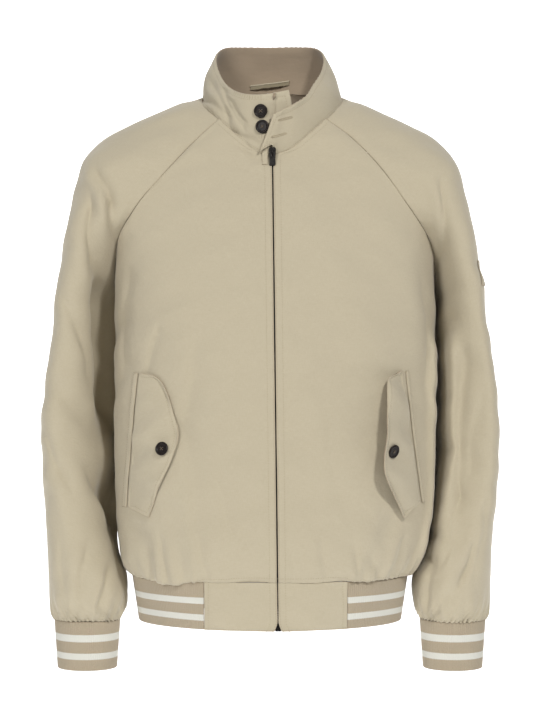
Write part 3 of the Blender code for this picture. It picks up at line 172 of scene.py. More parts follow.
# Puckers beside a seam: pitch, depth, reach.
FRONT_HEM_PUCKERS, BACK_HEM_PUCKERS = (0.0085, 0.0012, 0.016), (0.0085, 0.0013, 0.016)
CUFF_PUCKERS, ZIP_PUCKERS = (0.0058, 0.0021, 0.018), (0.011, 0.00022, 0.010)
PANEL_HEM_PUCKERS, PANEL_RIB_PUCKERS = (0.0085, 0.0003, 0.008), (0.009, 0.0003, 0.010)
COLLAR_TOP_PUCKERS, COLLAR_FOOT_PUCKERS = (0.0075, 0.0003, 0.007), (0.014, 0.0004, 0.009)
FLAP_PUCKERS = (0.013, 0.0006, 0.010)
RIPPLE_DEPTHS = {"front": 0.00085, "back": 0.0009, "sleeve": 0.0009, "panel": 0.0007, "collar": 0.0006,
                 "flap": 0.0017}

# Folds: top x, top z, foot x, foot z, width, depth.
SLEEVE_FOLDS = (
    (-0.268, -0.368, -0.208, -0.430, 0.014, 0.0050), (-0.288, -0.452, -0.262, -0.478, 0.011, 0.0040),
    (-0.283, -0.498, -0.266, -0.548, 0.012, 0.0035), (-0.243, -0.105, -0.222, -0.150, 0.015, 0.0045),
    (0.238, -0.332, 0.223, -0.445, 0.017, 0.0050), (0.225, -0.445, 0.226, -0.505, 0.015, 0.0045),
    (0.215, -0.560, 0.205, -0.605, 0.012, 0.0060), (0.246, -0.590, 0.226, -0.628, 0.010, 0.0035),
)
SLEEVE_HOLLOWS = (  # where the wearer's right sleeve falls away from the body
    (-0.2085, -0.268, -0.2050, -0.385, 0.0100, 0.0280), (-0.2030, -0.505, -0.1985, -0.530, 0.0080, 0.0120),
)
SLEEVE_CREASES = (
    (-0.225, -0.150, -0.221, -0.203, 0.011, 0.0028), (-0.215, -0.106, -0.199, -0.140, 0.008, 0.0034),
    (-0.1985, -0.142, -0.1925, -0.185, 0.008, 0.0036),
    (-0.254, -0.268, -0.229, -0.349, 0.009, 0.0016), (-0.278, -0.436, -0.254, -0.484, 0.008, 0.0016),
    (-0.219, -0.496, -0.194, -0.553, 0.012, 0.0030), (-0.231, -0.584, -0.237, -0.634, 0.009, 0.0016),
    (-0.206, -0.603, -0.215, -0.640, 0.006, 0.0018), (-0.262, -0.575, -0.256, -0.632, 0.008, 0.0012),
    (0.212, -0.122, 0.208, -0.215, 0.007, 0.0022), (0.227, -0.505, 0.214, -0.565, 0.010, 0.0032),
    (0.250, -0.574, 0.240, -0.603, 0.007, 0.0024), (0.262, -0.395, 0.250, -0.470, 0.012, 0.0014),
    (0.268, -0.520, 0.258, -0.590, 0.010, 0.0014), (0.200, -0.590, 0.196, -0.634, 0.006, 0.0020),
)
SLEEVE_BACK_CREASES = (
    (-0.245, -0.125, -0.214, -0.178, 0.013, 0.0034), (-0.252, -0.345, -0.212, -0.405, 0.014, 0.0040),
    (-0.276, -0.440, -0.244, -0.482, 0.011, 0.0034), (-0.238, -0.545, -0.214, -0.598, 0.011, 0.0034),
    (0.244, -0.140, 0.216, -0.196, 0.012, 0.0030), (0.254, -0.365, 0.222, -0.420, 0.014, 0.0040),
    (0.270, -0.455, 0.240, -0.505, 0.012, 0.0032), (0.232, -0.560, 0.208, -0.606, 0.011, 0.0036),
)
BODY_FOLDS = (
    (-0.170, -0.545, -0.150, -0.585, 0.014, 0.0050), (-0.118, -0.520, -0.108, -0.585, 0.013, 0.0030),
    (0.150, -0.535, 0.130, -0.585, 0.014, 0.0045),
)
FRONT_CREASES = (
    (-0.140, -0.304, -0.151, -0.340, 0.007, 0.0016), (-0.095, -0.340, -0.109, -0.407, 0.016, 0.0022),
    (-0.085, -0.562, -0.079, -0.589, 0.007, 0.0014), (-0.030, -0.543, -0.036, -0.567, 0.006, 0.0009),
    (-0.0334, -0.0732, -0.0099, -0.0888, 0.005, 0.0014), (-0.0434, -0.0959, -0.0099, -0.1108, 0.005, 0.0007),
    (-0.178, -0.240, -0.184, -0.330, 0.012, 0.0022), (-0.100, -0.455, -0.092, -0.530, 0.018, 0.0018),
    (-0.135, -0.560, -0.128, -0.592, 0.006, 0.0018), (-0.060, -0.500, -0.052, -0.560, 0.014, 0.0010),
    (0.1057, -0.577, 0.1093, -0.5952, 0.006, 0.0014), (0.1288, -0.589, 0.1324, -0.599, 0.005, 0.0012),
    (0.0207, -0.561, 0.0304, -0.589, 0.008, 0.0008), (0.0372, -0.0649, 0.0124, -0.0847, 0.005, 0.0013),
    (0.073, -0.419, 0.097, -0.528, 0.020, 0.0012), (0.190, -0.250, 0.196, -0.330, 0.012, 0.0018),
    (0.062, -0.560, 0.068, -0.592, 0.006, 0.0010), (0.164, -0.560, 0.150, -0.594, 0.006, 0.0016),
)
BACK_CREASES = (
    (-0.166, -0.205, -0.098, -0.262, 0.015, 0.0028), (0.168, -0.212, 0.106, -0.276, 0.015, 0.0026),
    (-0.150, -0.168, -0.070, -0.200, 0.012, 0.0016), (0.150, -0.176, 0.078, -0.206, 0.012, 0.0016),
    (-0.030, -0.300, -0.042, -0.450, 0.022, 0.0018), (0.050, -0.360, 0.062, -0.500, 0.022, 0.0016),
    (-0.120, -0.520, -0.102, -0.590, 0.013, 0.0032), (-0.046, -0.545, -0.036, -0.596, 0.011, 0.0024),
    (0.030, -0.535, 0.022, -0.594, 0.012, 0.0026), (0.108, -0.528, 0.092, -0.592, 0.013, 0.0030),
    (0.158, -0.545, 0.146, -0.594, 0.010, 0.0026), (-0.165, -0.550, -0.152, -0.594, 0.010, 0.0026),
)

# The collar's ends past the neck seam, from the foot up: foot x, y, z, and top x, y, z.
TAB_END = (
    (0.0282, -0.0915, -0.0225, 0.0240, -0.0935, 0.0008), (0.0190, -0.0940, -0.0262, 0.0165, -0.0960, -0.0010),
    (0.0095, -0.095, -0.032, 0.009, -0.0978, -0.0028), (0.0072, -0.09, -0.042, 0.0065, -0.0988, -0.0034),
    (0.0050, -0.0872, -0.0740, 0.0040, -0.0992, -0.0042),
)
LEFT_END = (
    (0.003, -0.0975, -0.0668, 0.015, -0.1062, -0.0262), (-0.0045, -0.0995, -0.07, 0.01, -0.1072, -0.0288),
    (-0.0124, -0.1010, -0.0755, 0.0049, -0.1082, -0.0311),
)
# The collar's top edge: angle from the centre front, x, y, z.
COLLAR_TOP_RIGHT = (
    (1, -0.0030, -0.0998, -0.0050), (8, -0.0124, -0.0985, -0.0058), (22, -0.0325, -0.0880, -0.0032),
    (38, -0.0490, -0.0690, 0.0058), (55, -0.0605, -0.0455, 0.0205), (75, -0.0692, -0.0150, 0.0455),
    (95, -0.0690, 0.0080, 0.0605), (120, -0.0600, 0.0330, 0.0715), (150, -0.0370, 0.0510, 0.0755),
    (180, 0.0, 0.0570, 0.0760),
)
COLLAR_TOP_LEFT = (
    (1, 0.0185, -0.1045, -0.0245), (17, 0.0310, -0.0975, -0.0172), (32, 0.0456, -0.0800, -0.0048),
    (46, 0.0545, -0.0590, 0.0118), (60, 0.0645, -0.0360, 0.0290), (75, 0.0692, -0.0150, 0.0440),
    (95, 0.0690, 0.0080, 0.0600), (120, 0.0600, 0.0330, 0.0715), (150, 0.0370, 0.0510, 0.0755),
    (180, 0.0, 0.0570, 0.0760),
)
COLLAR_BOW, COLLAR_FLAT_ANGLE, COLLAR_LIFT = 0.003, 40, 0.0005
COLLAR_TUCK = 0.0014  # how far the collar's foot is let in below the neck seam
COLLAR_CREASES = (
    (-0.0575, 0.0010, -0.0360, -0.0415, 0.0045, 0.0013), (-0.0725, 0.0110, -0.0550, -0.0315, 0.0060, 0.0014),
    (-0.0475, -0.014, -0.034, -0.0365, 0.0032, 0.001), (-0.081, -0.0065, -0.06, -0.024, 0.007, 0.0012),
    (-0.0425, -0.0515, -0.0225, -0.0615, 0.0040, 0.0010),
)

POCKETS = {  # from the top: hinge x, hinge z, outer x, outer z, rise of the outer edge
    "right": (
        (-0.1617, -0.3500, -0.1440, -0.3530, 0.001), (-0.1635, -0.3620, -0.1325, -0.3630, 0.001),
        (-0.1665, -0.3920, -0.1198, -0.3930, 0.002), (-0.1690, -0.4210, -0.1123, -0.4220, 0.003),
        (-0.1714, -0.4480, -0.1173, -0.4490, 0.003), (-0.1740, -0.4740, -0.1285, -0.4750, 0.002),
        (-0.1762, -0.5000, -0.1400, -0.5007, 0.001), (-0.1776, -0.5175, -0.1500, -0.5282, 0.001),
    ),
    "left": (
        (0.1642, -0.3476, 0.1560, -0.3505, 0.003), (0.1655, -0.3620, 0.1430, -0.3600, 0.012),
        (0.1690, -0.3920, 0.1425, -0.3895, 0.024), (0.1725, -0.4210, 0.1434, -0.4205, 0.030),
        (0.1762, -0.4480, 0.1397, -0.4510, 0.030), (0.1800, -0.4740, 0.1405, -0.4720, 0.026),
        (0.1838, -0.5000, 0.1531, -0.5000, 0.016), (0.1857, -0.5116, 0.1666, -0.5290, 0.006),
    ),
}
WELT_FROM = {"right": 0.0005, "left": 0.0026}
WELT_TO, WELT_WALL = 0.0066, 0.0012

BUTTON_RADIUS, BUTTON_THICKNESS = 0.0085, 0.003
FLAP_BUTTONS = {"right": (-0.1314, -0.4424), "left": (0.1495, -0.4448)}
COLLAR_BUTTONS = {"upper": (-0.0112, -0.0262), "lower": (-0.0092, -0.0455)}

ZIP_DEPTH, CHAIN_HALF_WIDTH, CHAIN_WALL, TAPE_WIDTH, SEAM_GAP = 0.0027, 0.0025, 0.002, 0.012, 0.0003
CHAIN_TOP, TAPE_TOP, CHAIN_FOOT, TAPE_FOOT = -0.0865, -0.0825, -0.6570, -0.6615
TAPE_CORD, TAPE_STEP, CORD_DEEPER = 0.00005, (0.0022, 0.0034), 0.0016  # its cord runs behind the teeth
ZIP_BESIDE = 0.0080  # where the fronts lie flat beside their edges
TOOTH_ASIDE, TOOTH_OFFSET, TOOTH_PITCH, TOOTH_SIZE = 0.0011, 0.0005, 0.0021, (0.0011, 0.0029, 0.0019)
SLIDER_LEVEL, SLIDER_BACK, SLIDER_PLATE = -0.0775, -0.0968, 0.0016
PIVOT_STANDOFF, PULL_LEAN, PULL_LENGTH = 0.0010, 5, 0.0165
BOX_HEIGHT, ZIP_NOTCH_HEIGHT, ZIP_NOTCH = 0.012, 0.012, 0.004

PATCH_LEVELS, PATCH_MIDDLE, PATCH_ANGLES, PATCH_WALL = (-0.209, -0.241), 0.2385, (17.5, 35.5), 0.001
LOOP_ENDS = ((-0.0265, 0.0232), (0.0255, 0.0300))
LOOP_WIDTH, LOOP_WALL, LOOP_SLACK = 0.006, 0.0016, 0.005
GUARD_FROM, GUARD_TO, GUARD_TOP, GUARD_FOOT, GUARD_CLEAR = -0.0099, -0.0027, -0.0705, -0.0933, -0.0835

WAIST_STRIPES, CUFF_STRIPES = ((0.0200, 0.0280), (0.0415, 0.0495)), ((0.0170, 0.0260), (0.0405, 0.0485))

# How far lines of stitches lie from the edges they follow.
EDGE_STITCH, SECOND_STITCH, RIB_STITCH, CUFF_STITCH = 0.0018, 0.0090, 0.0062, 0.0032
FLAP_STITCH, WELT_STITCH, COLLAR_STITCH = 0.0048, 0.0013, 0.0068
PANEL_RIB_STITCH, PANEL_FOOT_STITCH = 0.0060, 0.0016


# --------------------------------------------------------------------------------------- curves and surfaces


def through(table, at, column=1):
    """The value at `at` on a smooth curve through a table's columns: column 0 is the place along it."""
    rows = np.array(sorted(map(tuple, table)), float)
    places, values = rows[:, 0], rows[:, column]
    slopes = np.gradient(values, places)
    i = np.clip(np.searchsorted(places, at, side="right") - 1, 0, len(places) - 2)
    step = places[i + 1] - places[i]
    t = (np.asarray(at) - places[i]) / step
    return (
        (1 + 2 * t) * (1 - t) ** 2 * values[i]
        + t * (1 - t) ** 2 * step * slopes[i]
        + t * t * (3 - 2 * t) * values[i + 1]
        + t * t * (t - 1) * step * slopes[i + 1]
    )


def by_section(table, section, column=None):
    """The same for a table whose rows are numbered sections, each one value where no column is named."""
    return through([(i, row if column is None else row[column]) for i, row in enumerate(table)], section)


def unit(vectors):
    vectors = np.asarray(vectors, float)
    return vectors / np.maximum(np.linalg.norm(vectors, axis=-1, keepdims=True), 1e-12)


def evenly(points, shares):
    """Points at the given shares of a line's length."""
    along = np.concatenate([[0], np.cumsum(np.linalg.norm(np.diff(points, axis=0), axis=1))])
    places = np.asarray(shares) * along[-1]
    return np.stack([np.interp(places, along, points[:, k]) for k in range(3)], axis=1)


def oval(angle, rounding):
    """How far an oval of radius 1 has run sideways and fallen back at an angle from its foremost point."""
    across, down = np.sin(angle), np.cos(angle)
    power = 2 / rounding
    return np.sign(across) * np.abs(across) ** power, 1 - np.sign(down) * np.abs(down) ** power


def arc(start, end, reach, turn, rounding, shares):
    """Even points from start to end on an oval that turns by `turn` degrees and sets off along `reach`."""
    start, end, reach = (np.asarray(p, float) for p in (start, end, reach))
    run, fall = oval(np.radians(turn) * np.linspace(0, 1, 97), rounding)
    inward = (run[-1] * reach - (end - start)) / fall[-1]
    return evenly(start - fall[:, None] * inward + run[:, None] * reach, shares)


def neck(angles):
    """Points of the neck seam at angles from the centre front, positive towards the wearer's left."""
    angles = np.atleast_1d(np.asarray(angles, float))
    across, down = np.sin(np.radians(angles)), np.cos(np.radians(angles))
    y = np.where(down > 0, -NECK_FRONT * down, -NECK_BACK * down)
    return np.stack([ZIP_TOP_X + NECK_HALF_WIDTH * across, y, through(NECK_HEIGHTS, np.abs(angles))], axis=1)


def zip_x(z):
    return ZIP_TOP_X + (ZIP_FOOT_X - ZIP_TOP_X) * (ZIP_TOP - z) / (ZIP_TOP - HEM_FOOT)


def body_row(side, half, row, shares):
    """Points of one row of a front or of half the back, from the centre line out to the side or raglan seam.

    Row numbers run from 0 at the hem seam to 1 at the underarm and 2 at the neck.
    """
    if row > 1:
        section = YOKE_SECTIONS * (2 - row)
        angles = (FRONT_NECK_ANGLES[0], RAGLAN_FRONT_ANGLE) if half == "front" else (180, RAGLAN_BACK_ANGLE)
        points = body_yoke_row(side, half, section, shares)
        return points + to_neck(side, angles, section, shares, lambda: body_yoke_row(side, half, 0, shares))
    z = HEM_SEAM + row * (UNDERARM - HEM_SEAM)
    if half == "front":
        centre = (zip_x(z) + side * FRONT_EDGE_GAP, through(CENTRE_FRONT, z), z)
    else:
        centre = (0.0, through(CENTRE_BACK, z), z)
    out = through(SIDES, z, 1 if side < 0 else 2)
    return arc(centre, (out, 0.0, z), (out - centre[0], 0, 0), 90, BODY_ROUNDING, shares)


def body_yoke_row(side, half, section, shares):
    """The same above the underarm as its oval gives it, before the rows at the neck are laid on its seam."""
    front = half == "front"
    seam = FRONT_RAGLAN if front else BACK_RAGLAN
    end = np.array([by_section(seam, section, k) for k in (0 if side < 0 else 1, 2, 3)])
    if front and section <= FRONT_NECK_ROWS:
        start = neck(side * by_section(FRONT_NECK_ANGLES, section))[0]
    elif front:
        z = by_section(FRONT_ZIP_LEVELS, section - FRONT_NECK_ROWS)
        start = np.array([zip_x(z) + side * FRONT_EDGE_GAP, through(CENTRE_FRONT, z), z])
    else:
        z = by_section(BACK_LEVELS, section)
        start = np.array([0.0, through(CENTRE_BACK, z), z])
    turn = by_section(YOKE_TURNS, section, 2 if front else 3)
    run = oval(math.radians(turn), BODY_ROUNDING)[0]
    return arc(start, end, ((end[0] - start[0]) / run, 0, 0), turn, BODY_ROUNDING, shares)


def to_neck(side, angles, section, shares, last_row):
    """What moves the rows next to the neck so that the last one lies on the neck seam."""
    if section >= 1:
        return 0.0
    on_seam = neck(side * (angles[0] + (angles[1] - angles[0]) * np.asarray(shares)))
    return (1 - section) ** 2 * (1 + 2 * section) * (on_seam - last_row())


def back_row(row, shares):
    """Points of one row of the whole back, from the wearer's right to the left."""
    right, left = shares[shares <= 0.5], shares[shares > 0.5]
    return np.concatenate([body_row(-1, "back", row, 1 - 2 * right), body_row(1, "back", row, 2 * left - 1)])


def sleeve_row(side, half, row, shares):
    """Points of one row of a sleeve's front or back, from the overarm seam to the raglan or underarm seam.

    Row numbers run from 0 at the neck to 1 at the underarm and 2 at the cuff.
    """
    forward = -1 if half == "front" else 1
    if row > 1:
        z = UNDERARM + (row - 1) * (CUFF_SEAM - UNDERARM)
        out, mid, lean = (through(ARM, z, k) for k in (1, 4, 7))
        out -= LEFT_SLEEVE_IN * min(1, (z - CUFF_SEAM) / 0.1) if side > 0 else 0
        inner = through(ARM, z, 2 if side < 0 else 3)
        set_back = through(ARM, z, 8)
        depth = through(ARM, z, 5 if half == "front" else 6) - forward * set_back / 2
        lift = ARM_LIFT * max(0.0, 1 - (row - 1) * 5) ** 2
        start, end = (side * out, mid, z + lift), (side * inner, mid + set_back, z)
        reach = (-forward * side * lean, forward * depth, 0)
        return arc(start, end, reach, 180, through(ARM, z, 9 if side < 0 else 10), shares)
    section = YOKE_SECTIONS * row
    angles = (90, RAGLAN_FRONT_ANGLE if half == "front" else RAGLAN_BACK_ANGLE)
    return sleeve_yoke_row(side, half, section, shares) + to_neck(
        side, angles, section, shares, lambda: sleeve_yoke_row(side, half, 0, shares)
    )


def sleeve_yoke_row(side, half, section, shares):
    """The same above the underarm as its oval gives it."""
    forward, column = (-1, 0) if half == "front" else (1, 1)
    out = by_section(OVERARM, section, 0) - (LEFT_SLEEVE_IN * min(1, section / 3) if side > 0 else 0)
    start = (side * out, 0.0, by_section(OVERARM, section, 1))
    seam = FRONT_RAGLAN if half == "front" else BACK_RAGLAN
    end = [by_section(seam, section, k) for k in (0 if side < 0 else 1, 2, 3)]
    turn = by_section(YOKE_TURNS, section, column)
    lean = ARM[0][7] * section / YOKE_SECTIONS
    reach = (-forward * side * lean, forward * by_section(YOKE_REACH, section, column), 0)
    return arc(start, end, reach, turn, SLEEVE_ROUNDING, shares)


def normals_of(row_at, row, shares, outward):
    """Unit normals of a surface of rows, on the side that `outward` points to in the row's middle."""
    near, wide = 0.004, 0.01
    low, high = max(row - near, 0.0), min(row + near, 2.0)
    up = row_at(high, shares) - row_at(low, shares)
    left, right = np.clip(shares - wide, 0, 1), np.clip(shares + wide, 0, 1)
    along = row_at(row, right) - row_at(row, left)
    found = np.cross(unit(along), unit(up))
    found[np.linalg.norm(found, axis=1) < 0.3] = found[-1]
    found = unit(found)
    return found * (1 if found[len(found) // 2] @ outward > 0 else -1)


CREASE_STRENGTH, CREASE_BOW, STEEP_SIDE = 2.2, 0.06, 0.4
CREASE_FALL, WELT_ASIDE = 1.6, 1.4  # how sharply a crease's sides fall, and its welt's distance in widths
CREASE_WELT, COLLAR_CREASE_WELT, FRONT_CREASE_SHARE = 0.35, 0.4, 0.75
CREASES_OFF_HEM = 0.012  # the height over which creases start above the rib, so that the seam stays closed


def sunk_in_folds(points, folds, ridge=0.0, ends=1.0):
    """How deep each point lies in the listed folds, which are straight on the view from the front.

    ends says how far, in widths, they fade out past their ends.
    ridge makes them creases, bowed a little and steeper on one side. It is the height of the soft welt there,
    as a share of the depth.
    """
    depth = np.zeros(points.shape[:-1])
    flat = points[..., [0, 2]]
    for number, (top_x, top_z, foot_x, foot_z, width, deep) in enumerate(folds):
        top, line = np.array([top_x, top_z]), np.array([foot_x - top_x, foot_z - top_z])
        length = np.linalg.norm(line)
        ahead = np.array([line[1], -line[0]]) / length
        along = ((flat - top) @ line) / length - length / 2
        aside = (flat - top) @ ahead
        past = np.maximum(np.abs(along) - length / 2, 0)
        if not ridge:
            depth += deep * np.exp(-((past / (ends * width)) ** 2)) * np.exp(-((aside / width) ** 2))
            continue
        bow = CREASE_BOW * length * (1 if number % 2 else -1)
        aside = aside + bow * (1 - np.clip(2 * along / length, -1, 1) ** 2)
        strength = CREASE_STRENGTH * deep * np.exp(-((past / (2 * width)) ** 2))
        side_width = np.where(aside > 0, STEEP_SIDE * width, width)
        depth += strength * np.exp(-np.abs(aside / side_width) ** CREASE_FALL)
        depth -= ridge * strength * np.exp(-(((aside - WELT_ASIDE * width) / width) ** 2))
    return depth


def gathers(shares, count, height):
    """Relief of the gathers at a height above the rib's seam: uneven waves, none at the seam itself."""
    if height >= GATHER_END:
        return np.zeros(len(shares))
    rise = math.sin(0.5 * math.pi * min(1.0, height / GATHER_PEAK))
    fade = 1 - max(0.0, height - GATHER_PEAK) / (GATHER_END - GATHER_PEAK)
    phase = 2 * math.pi * count * shares
    return GATHER_DEPTH * rise * fade * (np.sin(phase) + 0.45 * np.sin(0.37 * phase + 1.1)) / 1.3


def puckers(along, height, pitch, depth, reach):
    """Fine uneven puckers that a seam's stitches draw up, `height` away from it."""
    uneven = 0.6 + 0.4 * np.sin(2 * math.pi * along / 0.083 + 0.7) * np.sin(2 * math.pi * along / 0.031)
    wave = np.sin(2 * math.pi * along / pitch + 1.3 * np.sin(2 * math.pi * along / (5.3 * pitch)))
    return depth * uneven * wave * np.exp(-(height / reach) ** 2)


WAVES = np.random.default_rng(11)
RIPPLES = [(WAVES.uniform(9, 34), WAVES.uniform(0, math.pi), WAVES.uniform(0, 2 * math.pi)) for _ in range(9)]


def ripples(points, depth):
    """Soft uneven undulation of worn cloth."""
    total = np.zeros(points.shape[:-1])
    for number, (pace, way, phase) in enumerate(RIPPLES):
        run = points[..., 0] * math.cos(way) + points[..., 2] * math.sin(way) + 0.35 * points[..., 1]
        total += np.sin(2 * math.pi * pace * run + phase + 0.02 * number) / pace
    return depth * total * 8


# -------------------------------------------------------------------------------------------------- finishes


class Nodes:
    """A node tree, whose nodes are added one after another."""

    def __init__(self, tree):
        self.tree = tree

    def node(self, kind, settings=(), **inputs):
        made = self.tree.nodes.new(kind)
        for name, value in dict(settings).items():
            setattr(made, name, value)
        for name, value in inputs.items():
            self.feed(made.inputs[name.replace("_", " ")], value)
        return made

    def feed(self, socket, value):
        if isinstance(value, bpy.types.NodeSocket):
            self.tree.links.new(value, socket)
        else:
            socket.default_value = value

    def math(self, operation, first, second=0.0):
        made = self.node("ShaderNodeMath", {"operation": operation})
        self.feed(made.inputs[0], first)
        self.feed(made.inputs[1], second)
        return made.outputs[0]


class Finish(Nodes):
    """A material and its nodes."""

    def __init__(self, name, roughness, **sockets):
        self.made = bpy.data.materials.new(name)
        self.made.use_nodes = True
        super().__init__(self.made.node_tree)
        self.shader = self.tree.nodes["Principled BSDF"]
        for socket, value in {"Roughness": roughness, **sockets}.items():
            self.shader.inputs[socket].default_value = value

    def mix(self, share, first, second):
        made = self.node("ShaderNodeMix", {"data_type": "RGBA"})
        self.feed(made.inputs["Factor"], share)
        for socket, value in ((made.inputs[6], first), (made.inputs[7], second)):
            self.feed(socket, value if isinstance(value, bpy.types.NodeSocket) else (*value, 1))
        return made.outputs[2]

    def uv(self, *scale):
        place = self.node("ShaderNodeUVMap", {"uv_map": "UVMap"}).outputs[0]
        return self.node("ShaderNodeMapping", Vector=place, Scale=scale).outputs[0] if scale else place

    def objects(self, *scale):
        place = self.node("ShaderNodeTexCoord").outputs["Object"]
        return self.node("ShaderNodeMapping", Vector=place, Scale=scale).outputs[0] if scale else place

    def noise(self, place, scale, detail=2.0):
        return self.node("ShaderNodeTexNoise", Vector=place, Scale=scale, Detail=detail).outputs["Fac"]

    def spread(self, value, high):
        """The value's middle range, stretched from 0 to high."""
        made = self.node("ShaderNodeMapRange", Value=value)
        for number, end in enumerate((0.3, 0.7, 0.0, high), 1):
            made.inputs[number].default_value = end
        return made.outputs[0]

    def attribute(self, name):
        return self.node("ShaderNodeAttribute", {"attribute_name": name}).outputs["Fac"]

    def finish(self, colour, height=None, distance=0.0003, strength=0.5):
        is_made = isinstance(colour, bpy.types.NodeSocket)
        self.feed(self.shader.inputs["Base Color"], colour if is_made else (*colour, 1))
        if height is not None:
            bumped = self.node("ShaderNodeBump", Strength=strength, Distance=distance, Height=height)
            self.tree.links.new(bumped.outputs[0], self.shader.inputs["Normal"])
        return self.made


# The darker tone serves both the cloth's uneven yarns and the painted shade along its seams; the inside
# colour is painted shade on the inner skin.
COTTON, COTTON_YARN_TONE_AND_SHADE, COTTON_INSIDE_SHADE = (0.500, 0.442, 0.318), (0.350, 0.270, 0.175), (0.300, 0.224, 0.154)
# The hanger loop is the jacket's own cloth, painted darker as the shade on its face.
LOOP_SHADED_COTTON = (0.250, 0.215, 0.140)
# The topstitch thread has the cloth's colour, painted darker as the shade of its stitches; the button thread
# is dark.
THREAD_COTTON_SHADED, BUTTON_THREAD = (0.385, 0.318, 0.212), (0.050, 0.035, 0.026)
# The groove colour is painted shade along the band's seam and edges.
KNIT, KNIT_HEATHER, KNIT_EDGE_SHADE = (0.385, 0.320, 0.226), (0.50, 0.42, 0.31), (0.20, 0.15, 0.10)
STRIPE = (0.670, 0.660, 0.595)
HORN_DARK, HORN_PALE = (0.006, 0.004, 0.0035), (0.022, 0.014, 0.011)
METAL_DARK, METAL_RUBBED = (0.012, 0.011, 0.011), (0.055, 0.050, 0.045)
TAPE_PALE, TAPE_DARK = (0.11, 0.09, 0.065), (0.05, 0.04, 0.03)
CRUMPLE = 18.0  # the height of the cotton's fine soft wrinkles, in weave heights
SLUB = 0.27  # how far its uneven yarns take on the shade
LOOP_PITCH, LOOP_RISE, ROW_PITCH = 0.0014, 0.0006, 0.0016  # of the knit's loops
TAPE_ROW_PITCH = 0.0011


def cotton_finish(name, colour):
    """Cotton drill: a fine weave, uneven yarns across it, and soft changes of tone over the piece, with
    painted shade in a thin line along its seams and painted shade over its inner skin.
    """
    cloth = Finish(name, 0.86, **{"Sheen Weight": 0.25, "Sheen Roughness": 0.6, "Specular IOR Level": 0.25})
    yarn = cloth.noise(cloth.uv(140, 900, 1), 1.0, 3.0)
    warp = cloth.noise(cloth.uv(1100, 170, 1), 1.0, 2.0)
    tone = cloth.noise(cloth.objects(), 7.0, 2.0)
    weave = cloth.math("MULTIPLY", cloth.noise(cloth.uv(1500, 1500, 1), 1.0, 1.0), 0.6)
    crumple = cloth.math("MULTIPLY", cloth.noise(cloth.objects(34, 34, 52), 1.0, 4.0), CRUMPLE)
    threads = cloth.math("ADD", yarn, warp)
    shown = cloth.mix(cloth.spread(cloth.math("MULTIPLY", threads, 0.5), SLUB), colour, COTTON_YARN_TONE_AND_SHADE)
    shown = cloth.mix(cloth.spread(tone, 0.18), shown, tuple(0.93 * part for part in colour))
    # Painted shade over the inner skin.
    shown = cloth.mix(cloth.attribute("inner"), shown, COTTON_INSIDE_SHADE)
    # Painted shade in a thin line along the seams.
    shown = cloth.mix(cloth.math("MULTIPLY", cloth.attribute("seam"), 0.32), shown, COTTON_YARN_TONE_AND_SHADE)
    return cloth.finish(shown, cloth.math("ADD", crumple, cloth.math("ADD", threads, weave)), 0.00013, 0.75)


def knit_finish(name, stripes):
    """Rib knit: rows of small loops across the ribs, and pale stripes at these distances from the top, with
    painted shade along its edges.
    """
    knit = Finish(name, 0.95, **{"Sheen Weight": 0.35, "Sheen Roughness": 0.5, "Specular IOR Level": 0.2})
    place = knit.node("ShaderNodeSeparateXYZ", Vector=knit.uv())
    across, down = place.outputs[0], place.outputs[1]
    loop = knit.math("ABSOLUTE", knit.math("SINE", knit.math("MULTIPLY", across, math.pi / LOOP_PITCH)))
    level = knit.math("ADD", down, knit.math("MULTIPLY", loop, LOOP_RISE))
    striped = 0.0
    for top, foot in stripes:
        below, above = knit.math("GREATER_THAN", level, top), knit.math("LESS_THAN", level, foot)
        striped = knit.math("ADD", knit.math("MULTIPLY", below, above), striped)
    rows = knit.math("MULTIPLY", down, 2 * math.pi / ROW_PITCH)
    slant = knit.math("ADD", rows, knit.math("MULTIPLY", loop, 1.6))
    loops = knit.math("MULTIPLY", knit.math("SINE", slant), 0.5)
    fuzz = knit.noise(knit.objects(), 900.0, 3.0)
    heather = knit.spread(knit.noise(knit.uv(420, 900, 1), 1.0, 3.0), 0.28)
    shown = knit.mix(heather, KNIT, KNIT_HEATHER)
    shown = knit.mix(striped, shown, STRIPE)
    # Painted shade along the band's edges.
    shown = knit.mix(knit.math("MULTIPLY", knit.attribute("seam"), 0.3), shown, KNIT_EDGE_SHADE)
    return knit.finish(shown, knit.math("ADD", loops, fuzz), 0.0003, 0.5)


def thread_finish(name, colour):
    thread = Finish(name, 0.7, **{"Sheen Weight": 0.2, "Specular IOR Level": 0.3})
    twist = thread.noise(thread.objects(), 1600.0, 2.0)
    return thread.finish(thread.mix(thread.spread(twist, 0.4), colour, COTTON_YARN_TONE_AND_SHADE), twist, 0.0002, 0.5)


def horn_finish():
    """Dark polished horn with paler streaks."""
    horn = Finish("button_horn", 0.38, **{"Specular IOR Level": 0.22})
    streak = horn.noise(horn.objects(220, 900, 260), 1.0, 4.0)
    return horn.finish(horn.mix(horn.spread(streak, 0.75), HORN_DARK, HORN_PALE), streak, 0.0001, 0.15)


def zip_finish():
    """Dark plated metal, slightly rubbed."""
    metal = Finish("zip_metal", 0.38, **{"Metallic": 0.85, "Specular IOR Level": 0.5})
    rub = metal.noise(metal.objects(), 700.0, 4.0)
    return metal.finish(metal.mix(metal.spread(rub, 0.7), METAL_DARK, METAL_RUBBED), rub, 0.0001, 0.25)


